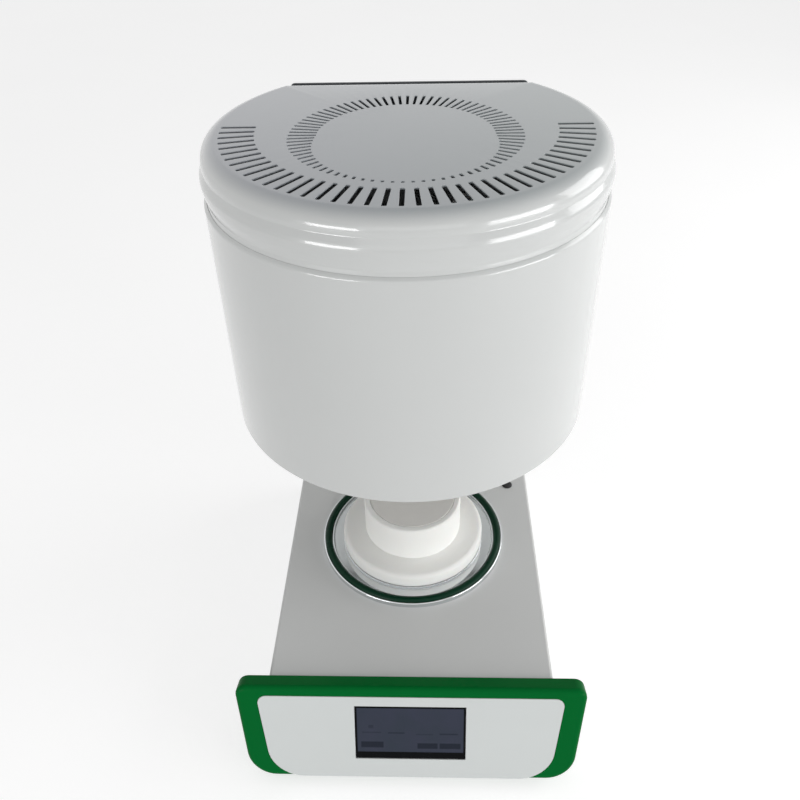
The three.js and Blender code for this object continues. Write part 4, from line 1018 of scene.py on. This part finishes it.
carrier = puck("carrier_plate", carrier_high.x, carrier_low.z, carrier_high.z, 0.4 * mm, 0.4 * mm)
finish(carrier, polished_steel, "pedestal", "pedestal_plate")
lower_disc = puck("lower_disc", lower_radius, lower_low.z, lower_high.z, 2 * mm, 4.5 * mm, 8)
finish(lower_disc, refractory, "pedestal", "pedestal_lower")
upper_block = turned("upper_block", [
    (0, upper_low.z, 0), (upper_radius, upper_low.z, 1.2 * mm),
    (upper_radius, upper_high.z, 2.4 * mm), (seat, upper_high.z, 0.5 * mm), (seat, seat_floor, 0),
    (0, seat_floor, 0),
], segments=8)
finish(upper_block, refractory, "pedestal", "pedestal_upper")
disc = puck("disc", disc_high.x, disc_low.z, disc_high.z, 0.4 * mm, 0.6 * mm)
grey_ceramic = surface(
    "grey ceramic", srgb(226, 224, 220), 0.75, cloud=35, shift=0.07, grain=800, depth=0.15,
    lift=0.4,
)
finish(disc, grey_ceramic, "tray", "firing_disc")

# %% [markdown]
# ## The column
# Behind the head stands the column that it travels on. Its cover is one folded sheet with rounded
# rear corners and a ladder of vents near the top, and the front sheet keeps its plain solid, with a
# slot for each arm.

# %% Column cover
column_low, column_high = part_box("column_cover")
vent_count, vent_pitch, vent_drop = 10, 9, 40
vent_half, vent_height = 45 * mm, 3.5 * mm
column = block("column_sheet", column_low, column_high)
editing(column)
bevel_edges(8 * mm, 8, lambda item, at: at.y > column_high.y - mm
            and abs(at.x) > column_high.x - mm and run(item, "z") > mm)
pick("FACE", lambda item, at: item.normal.z < -0.9 or item.normal.y < -0.9)
bpy.ops.mesh.delete(type="FACE")
done()
modified(column, "SOLIDIFY", thickness=sheet, offset=-1, use_even_offset=True)
vents = []
for i in range(vent_count):
    vent_low = column_high.z - (vent_drop + vent_pitch * i) * mm
    vent = block(
        "vent",
        (-vent_half, column_high.y - 4 * mm, vent_low),
        (vent_half, column_high.y + 4 * mm, vent_low + vent_height),
    )
    editing(vent)
    bevel_edges(1.6 * mm, 4, lambda item, at: run(item, "y") > mm)
    done()
    vents.append(vent)
cut(column, joined(vents))
soft(column, 0.3 * mm, 2, 50)
finish(column, powder_coat, "base", "column_cover")

# %% [markdown]
# ## Inside the mouth of the head
# Seen from below, the head is closed by a galvanised floor with a polished flange, and inside lie
# the fibre muffle and the heater tube with its wound groove. All of them are turned or flat-backed
# like the head itself.

# %% Floor and flange
floor_low, floor_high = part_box("head_floor")
flange_low, flange_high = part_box("chamber_flange")
mouth, flange_body, flange_rim = 80 * mm, 99 * mm, 105 * mm
floor_hole = 99.3 * mm
head_floor = flat_backed("head_floor_plate", floor_high.x, floor_high.y, floor_low.z, floor_high.z)
hole = rod("hole", floor_hole, floor_low.z - mm, floor_high.z + mm, (0, axis_y), round_steps)
cut(head_floor, hole)
soft(head_floor, 0.3 * mm, 2, 50)
flange = turned("flange", [
    (mouth, flange_low.z, 1 * mm), (flange_body, flange_low.z, 0.6 * mm),
    (flange_body, floor_high.z, 0), (flange_rim, floor_high.z, 0.4 * mm),
    (flange_rim, flange_high.z, 0.6 * mm), (mouth, flange_high.z, 0.4 * mm),
], ring=True)
galvanised = surface(
    "galvanised sheet", (0.50, 0.52, 0.53, 1), 0.42, cloud=16, shift=0.12, spread=0.09, grain=140,
    depth=0.03, lift=0.25, Metallic=1,
)
finish(head_floor, galvanised, "head", "head_floor")
finish(flange, polished_steel, "head", "chamber_flange")

# %% Muffle and heater
fibre = surface(
    "ceramic fibre", srgb(236, 231, 220), 0.92, cloud=18, shift=0.05, spread=0.04, grain=300,
    depth=0.6, lift=0.5, Sheen_Weight=0.2,
)
ring_low, ring_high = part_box("muffle_ring")
muffle_low, muffle_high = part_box("muffle")
tube_low, tube_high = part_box("heater_tube")
fibre_ring = turned("fibre_ring", [
    (mouth, ring_low.z, 1.5 * mm), (ring_high.x, ring_low.z, 1 * mm),
    (ring_high.x, ring_high.z, 0.4 * mm), (mouth, ring_high.z, 0.4 * mm),
], ring=True)
finish(fibre_ring, fibre, "head", "muffle_ring")
bore = tube_high.x + 0.3 * mm
ledge, ledge_z = 55 * mm, muffle_low.z + 3 * mm
muffle = turned("muffle_block", [
    (ledge, muffle_low.z, 1.2 * mm), (muffle_high.x, muffle_low.z, 0.4 * mm),
    (muffle_high.x, muffle_high.z, 0.4 * mm), (bore, muffle_high.z, 0.4 * mm), (bore, ledge_z, 0),
    (ledge, ledge_z, 0.4 * mm),
], ring=True)
finish(muffle, fibre, "head", "muffle")

# %% Heater tube
# The wire lies in a groove that shows as a ladder of rounded hollows in the bore.
tube_height = tube_high.z - tube_low.z
tube_bore, groove_bottom = 54 * mm, 55.4 * mm
hollows = 15
tube_outline = [
    (tube_high.x, tube_low.z, 0.4 * mm),
    (tube_high.x, tube_high.z, 0.4 * mm),
    (tube_bore, tube_high.z, 0.3 * mm),
]
for i in range(hollows):
    level = tube_high.z - tube_height * (i + 0.75) / (hollows + 0.5)
    tube_outline.append((tube_bore, level + 1.3 * mm, 0.3 * mm))
    tube_outline.append((groove_bottom, level, 0.8 * mm))
    tube_outline.append((tube_bore, level - 1.3 * mm, 0.3 * mm))
tube_outline.append((tube_bore, tube_low.z, 0.3 * mm))
heater = turned("heater", tube_outline, ring=True, steps=96, segments=3)
finish(heater, refractory, "head", "heater_tube")

# %% [markdown]
# ## Feet and plug
# Four tapered rubber feet carry the base, and a small dark plug closes a hole in its top plate.
# One foot is modelled on the axis and copied to the four corners.

# %% Rubber
rubber = surface(
    "black rubber", srgb(30, 30, 31), 0.7, cloud=45, shift=0.15, spread=0.08, grain=1200,
    depth=0.06, lift=0.4,
)
foot_low, foot_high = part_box("foot_rear_left")
model_foot = turned("foot", [
    (0, foot_low.z + 1 * mm, 0), (7 * mm, foot_low.z + 1 * mm, 0.4 * mm),
    (8.5 * mm, foot_low.z, 0.5 * mm), (12.6 * mm, foot_low.z, 1.2 * mm),
    (14.6 * mm, foot_high.z - 1 * mm, 0.8 * mm), (14.6 * mm, foot_high.z, 0.2 * mm),
    (0, foot_high.z, 0),
], steps=64)
for corner in ("rear_left", "rear_right", "front_left", "front_right"):
    under = centre("foot_" + corner)
    foot = moved(copied(model_foot, "rubber_foot_" + corner), (under.x, under.y - axis_y, 0))
    finish(foot, rubber, "base", "foot_" + corner)
bpy.data.objects.remove(model_foot)

# %% Plug
plug_low, plug_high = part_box("cover_plug")
plug_place = centre("cover_plug")
plug = turned("plug", [
    (0, plug_low.z, 0), (5.5 * mm, plug_low.z, 0.2 * mm),
    (5.5 * mm, plug_low.z + 1.1 * mm, 0.8 * mm), (3.4 * mm, plug_high.z, 1.2 * mm),
    (0, plug_high.z, 0),
], steps=48)
moved(plug, (plug_place.x, plug_place.y - axis_y, 0))
finish(plug, rubber, "base", "cover_plug")

# %% [markdown]
# ## The rear wall
# A row of pieces sits on the rear wall: the mains inlet, the mains switch, the fuse holder and the
# vacuum port. Their flanges have soft moulded edges. The rear wall itself is part of the pan, which
# keeps its plain solid.

# %% Black plastic
black = surface(
    "black plastic", srgb(36, 37, 38), 0.4, cloud=30, shift=0.1, spread=0.06, grain=2400,
    depth=0.04, lift=0.35,
)
inlet_x, _, inlet_z = centre("power_inlet")
switch_x = centre("switch_housing").x
wall_y = base_high.y


def upright(name, width, height, front, back, x, z, round_by=0):
    """A block on the rear wall, with rounded corners when seen from behind."""
    shape = block(
        name,
        (x - width / 2, wall_y + front, z - height / 2),
        (x + width / 2, wall_y + back, z + height / 2),
    )
    if round_by:
        editing(shape)
        bevel_edges(round_by, 5, lambda item, at: run(item, "y") > 0.5 * mm)
        done()
    return shape


def on_rear_wall(piece, x):
    """Turns a piece that was spun about the head's axis to the rear wall."""
    moved(piece, (0, -axis_y, 0))
    turned_by(piece, -math.pi / 2, "X")
    moved(piece, (x, wall_y, inlet_z))


print("rear wall at y =", round(wall_y / mm, 1), "mm")

# %% Mains inlet
inlet = upright("inlet", 50 * mm, 28 * mm, 0, 3 * mm, inlet_x, inlet_z, 4 * mm)
inlet_body = upright("inlet_body", 46 * mm, 24 * mm, -22 * mm, 1 * mm, inlet_x, inlet_z)
cut(inlet, inlet_body, operation="UNION")
socket = upright("socket", 24 * mm, 16 * mm, -13 * mm, 6 * mm, inlet_x, inlet_z)
editing(socket)
bevel_edges(4 * mm, 1, lambda item, at: run(item, "y") > mm and at.z > inlet_z)
done()
cut(inlet, socket)
soft(inlet, 0.5 * mm, 3, 40)
pin_pitch, earth_shift = 7 * mm, 2 * mm
pins = []
for side in (-1, 0, 1):
    x = inlet_x + side * pin_pitch
    z = inlet_z + (-earth_shift if side else earth_shift)
    pins.append(soft(upright("pin", 2 * mm, 5 * mm, -13.5 * mm, -4 * mm, x, z), 0.5 * mm, 2))
finish(inlet, black, "base", "power_inlet")
brass = surface("brass", (0.62, 0.46, 0.20, 1), 0.28, cloud=40, shift=0.06, grain=1500, Metallic=1)
finish(joined(pins), brass, "base")

# %% Mains switch
housing = upright("switch_frame", 24 * mm, 32 * mm, 0, 2.5 * mm, switch_x, inlet_z, 2 * mm)
switch_body = upright("switch_body", 20 * mm, 28 * mm, -16 * mm, 1 * mm, switch_x, inlet_z)
cut(housing, switch_body, operation="UNION")
cut(housing, upright("switch_hole", 14.4 * mm, 21.6 * mm, -6.5 * mm, 6 * mm, switch_x, inlet_z))
soft(housing, 0.5 * mm, 3, 40)
finish(housing, black, "base", "switch_housing")

# %% [markdown]
# The rocker is drawn lying down, with its two wings along x. Each wing carries a raised mark: a
# line for on and a ring for off. Both pieces are then stood up and tipped together.

# %% Rocker
wing = 9.7 * mm
wing_top, valley, keel = 4 * mm, 2.8 * mm, -2.2 * mm
half_width = 6.7 * mm
stored_tilt = math.radians(-8)
rocker_points = [(-wing, keel), (wing, keel), (wing, wing_top), (0, valley), (-wing, wing_top)]
tip = plate("tip", rocker_points, [0, 0, 0, 1 * mm, 0], 2 * half_width)
moved(tip, (0, 0, -half_width))
soft(tip, 0.6 * mm, 3, 25)

line_mark = block("line_mark", (-2 * mm, -0.3 * mm, -0.4 * mm), (2 * mm, 0.12 * mm, 0.4 * mm))
ring_outline = [(1.3, -0.3), (2, -0.3), (2, 0.12), (1.3, 0.12)]
ring_mark = turned("ring_mark", [(r * mm, z * mm, 0) for r, z in ring_outline], ring=True, steps=32)
moved(ring_mark, (0, -axis_y, 0))
turned_by(ring_mark, -math.pi / 2, "X")
mark_at = 5.6 * mm
slope = (wing_top - valley) / wing
for mark, side in ((line_mark, 1), (ring_mark, -1)):
    turned_by(mark, side * math.atan(slope), "Z")
    moved(mark, (side * mark_at, valley + slope * mark_at, 0))
marks = joined([line_mark, ring_mark])

for piece in (tip, marks):
    turned_by(piece, -math.pi / 2, "Y")
    turned_by(piece, stored_tilt, "X")
    moved(piece, (switch_x, wall_y, inlet_z))
white_print = surface(
    "white print", srgb(226, 227, 226), 0.5, cloud=30, shift=0.03, grain=2400, depth=0.03, lift=0.2
)
finish(tip, black, "rocker", "switch_rocker")
finish(marks, white_print, "rocker")

# %% Fuse holder and vacuum port
fuse = turned("fuse", [
    (0, -24 * mm, 0), (6 * mm, -24 * mm, 0.5 * mm), (6 * mm, 0, 0), (9 * mm, 0, 0.3 * mm),
    (9 * mm, 2 * mm, 0.6 * mm), (6.5 * mm, 2.2 * mm, 0.3 * mm), (6.5 * mm, 8 * mm, 0.8 * mm),
    (0, 8 * mm, 0),
], steps=64)
slot_low, slot_high = (-9 * mm, axis_y - 0.7 * mm, 6 * mm), (9 * mm, axis_y + 0.7 * mm, 10 * mm)
cut(fuse, block("slot", slot_low, slot_high))
on_rear_wall(fuse, centre("fuse_holder").x)
finish(fuse, black, "base", "fuse_holder")

port_outline = [
    (2 * mm, -14 * mm, 0),
    (6 * mm, -14 * mm, 0.4 * mm),
    (6 * mm, 0, 0),
    (10 * mm, 0, 0.3 * mm),
    (10 * mm, 3 * mm, 0.8 * mm),
]
for barb in range(3):
    port_outline.append((4 * mm if barb else 4.2 * mm, (3 + 5 * barb) * mm, 0.2 * mm))
    port_outline.append((3 * mm, (8 + 5 * barb) * mm, 0.3 * mm if barb == 2 else 0.1 * mm))
port_outline.append((2 * mm, 18 * mm, 0.2 * mm))
port = turned("port", port_outline, ring=True, steps=64)
on_rear_wall(port, centre("vacuum_port").x)
finish(port, brass, "base", "vacuum_port")

# %% [markdown]
# ## Screws
# Pan-head screws with a cross recess hold the cover, the column and the back plate. One screw is
# turned, cut with a small cross and copied. Each copy is turned to its wall.

# %% One screw
zinc = surface(
    "zinc plated steel", (0.58, 0.60, 0.62, 1), 0.3, cloud=60, shift=0.08, grain=1600, depth=0.03,
    lift=0.3, Metallic=1,
)
model_screw = turned("screw_head", [
    (0, -0.4 * mm, 0), (3.2 * mm, -0.4 * mm, 0), (3.2 * mm, 0.9 * mm, 0.5 * mm),
    (1.8 * mm, 1.6 * mm, 1.2 * mm), (0, 1.6 * mm, 0),
], steps=32, segments=3)
moved(model_screw, (0, -axis_y, 0))
cross = [
    block("cross", (-1.7 * mm, -0.35 * mm, 0.5 * mm), (1.7 * mm, 0.35 * mm, 3 * mm)),
    block("cross", (-0.35 * mm, -1.7 * mm, 0.5 * mm), (0.35 * mm, 1.7 * mm, 3 * mm)),
]
cut(model_screw, *cross)


def screws(name, places, facing, body):
    """Copies of the screw at places, each turned so that its head looks along facing."""
    turn = Vector(facing).to_track_quat("Z", "Y").to_matrix().to_4x4()
    heads = []
    for number, place in enumerate(places):
        head = copied(model_screw, name)
        head.matrix_world = Matrix.Translation(place) @ turn @ Matrix.Rotation(0.7 * number, 4, "Z")
        heads.append(settled(head))
    row = joined(heads)
    row.name = name
    finish(row, zinc, body)


# %% All the screws
plate_rows = back_low.z + 9 * mm, back_high.z - 9 * mm
to_rear = (0, 1, 0)
places = [(x * mm, back_high.y, z) for x in (-90, 90) for z in plate_rows]
screws("back_plate_screws", places, to_rear, "head")
places = [(x * mm, column_high.y, z * mm) for x in (-92, 92) for z in (104, 296, 488)]
screws("column_screws", places, to_rear, "base")
places = [(x * mm, wall_y, z * mm) for x in (-114, 114) for z in (22, 78)]
screws("rear_screws", places, to_rear, "base")
for side, name in ((-1, "left_screws"), (1, "right_screws")):
    places = [(side * base_high.x, y * mm, 26 * mm) for y in (-130, 20, 165)]
    screws(name, places, (side, 0, 0), "base")
bpy.data.objects.remove(model_screw)

# %% [markdown]
# ## Finishes for the plain solids
# The pieces inside keep their plain solids, because their shapes are already right, and each gets
# the finish of its real material. These finishes are built in the same way as the ones above.

# %% Metals
brushed = surface(
    "brushed steel", (0.54, 0.55, 0.56, 1), 0.32, cloud=30, shift=0.05, spread=0.07, grain=500,
    lift=0.4, scale=(1, 1, 12), Metallic=1,
)
ground = surface(
    "ground steel rod", (0.60, 0.61, 0.62, 1), 0.12, cloud=18, shift=0.03, spread=0.04, depth=0.01,
    lift=0.3, scale=(1, 1, 6), Metallic=1,
)
aluminium = surface(
    "milled aluminium", (0.63, 0.64, 0.65, 1), 0.36, cloud=22, shift=0.05, spread=0.08, grain=700,
    lift=0.35, scale=(8, 1, 1), Metallic=1,
)
bronze = surface(
    "bronze", (0.50, 0.33, 0.15, 1), 0.33, cloud=50, shift=0.08, grain=1300, Metallic=1
)
print("materials so far:", len(bpy.data.materials))

# %% Wires, hoses and boards
jacket = surface(
    "grey cable jacket", srgb(148, 150, 153), 0.5, cloud=40, grain=1500, scale=(6, 1, 1)
)
hose_rubber = surface(
    "milky hose", srgb(214, 219, 220), 0.35, cloud=60, shift=0.03, Subsurface_Weight=0.1
)
board = surface("circuit board", srgb(26, 92, 58), 0.4, cloud=60, shift=0.1, grain=1600)
traces = board.add(
    "ShaderNodeTexBrick", Vector=board.place(), Scale=190, Color1=srgb(26, 92, 58),
    Color2=srgb(30, 104, 66), Mortar=srgb(44, 124, 82), Mortar_Size=0.03,
)
board.paint("Base Color", board.mixed(0.6, board.colour, traces.outputs["Color"]))
print("materials now:", len(bpy.data.materials))

# %% Which node gets which finish
plain = [
    (galvanised, "base_pan power_supply board_carrier display_module column_foot"),
    (galvanised, "column_top_plate"),
    (board, "control_board"),
    (aluminium, "heat_sink motor_coupling carriage"),
    (black, "heater_relay limit_switch_upper limit_switch_lower"),
    (brass, "vacuum_valve"),
    (jacket, "display_cable"),
    (hose_rubber, "hose_rear hose_front"),
    (powder_coat, "column_front"),
    (ground, "guide_rod_left guide_rod_right lead_screw"),
    (brushed, "screw_bearing_lower screw_bearing_upper vacuum_bell"),
    (brushed, "linear_bearing_left linear_bearing_right"),
    (dark_paint, "lift_motor"),
    (fibre, "muffle_lid"),
    (grey_ceramic, "thermocouple"),
    (refractory, "terminal_block"),
    (bronze, "lead_nut"),
]
count = 0
for look, names in plain:
    for name in names.split():
        dressed_in(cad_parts[name], look)
        count += 1
print("plain solids with a finish:", count)

# %% [markdown]
# ## The last line counts the finished pieces. The last line checks that every piece rides on a body.
# The new pieces must stay inside the box of the plain solids.


print("pieces:", len(finished))
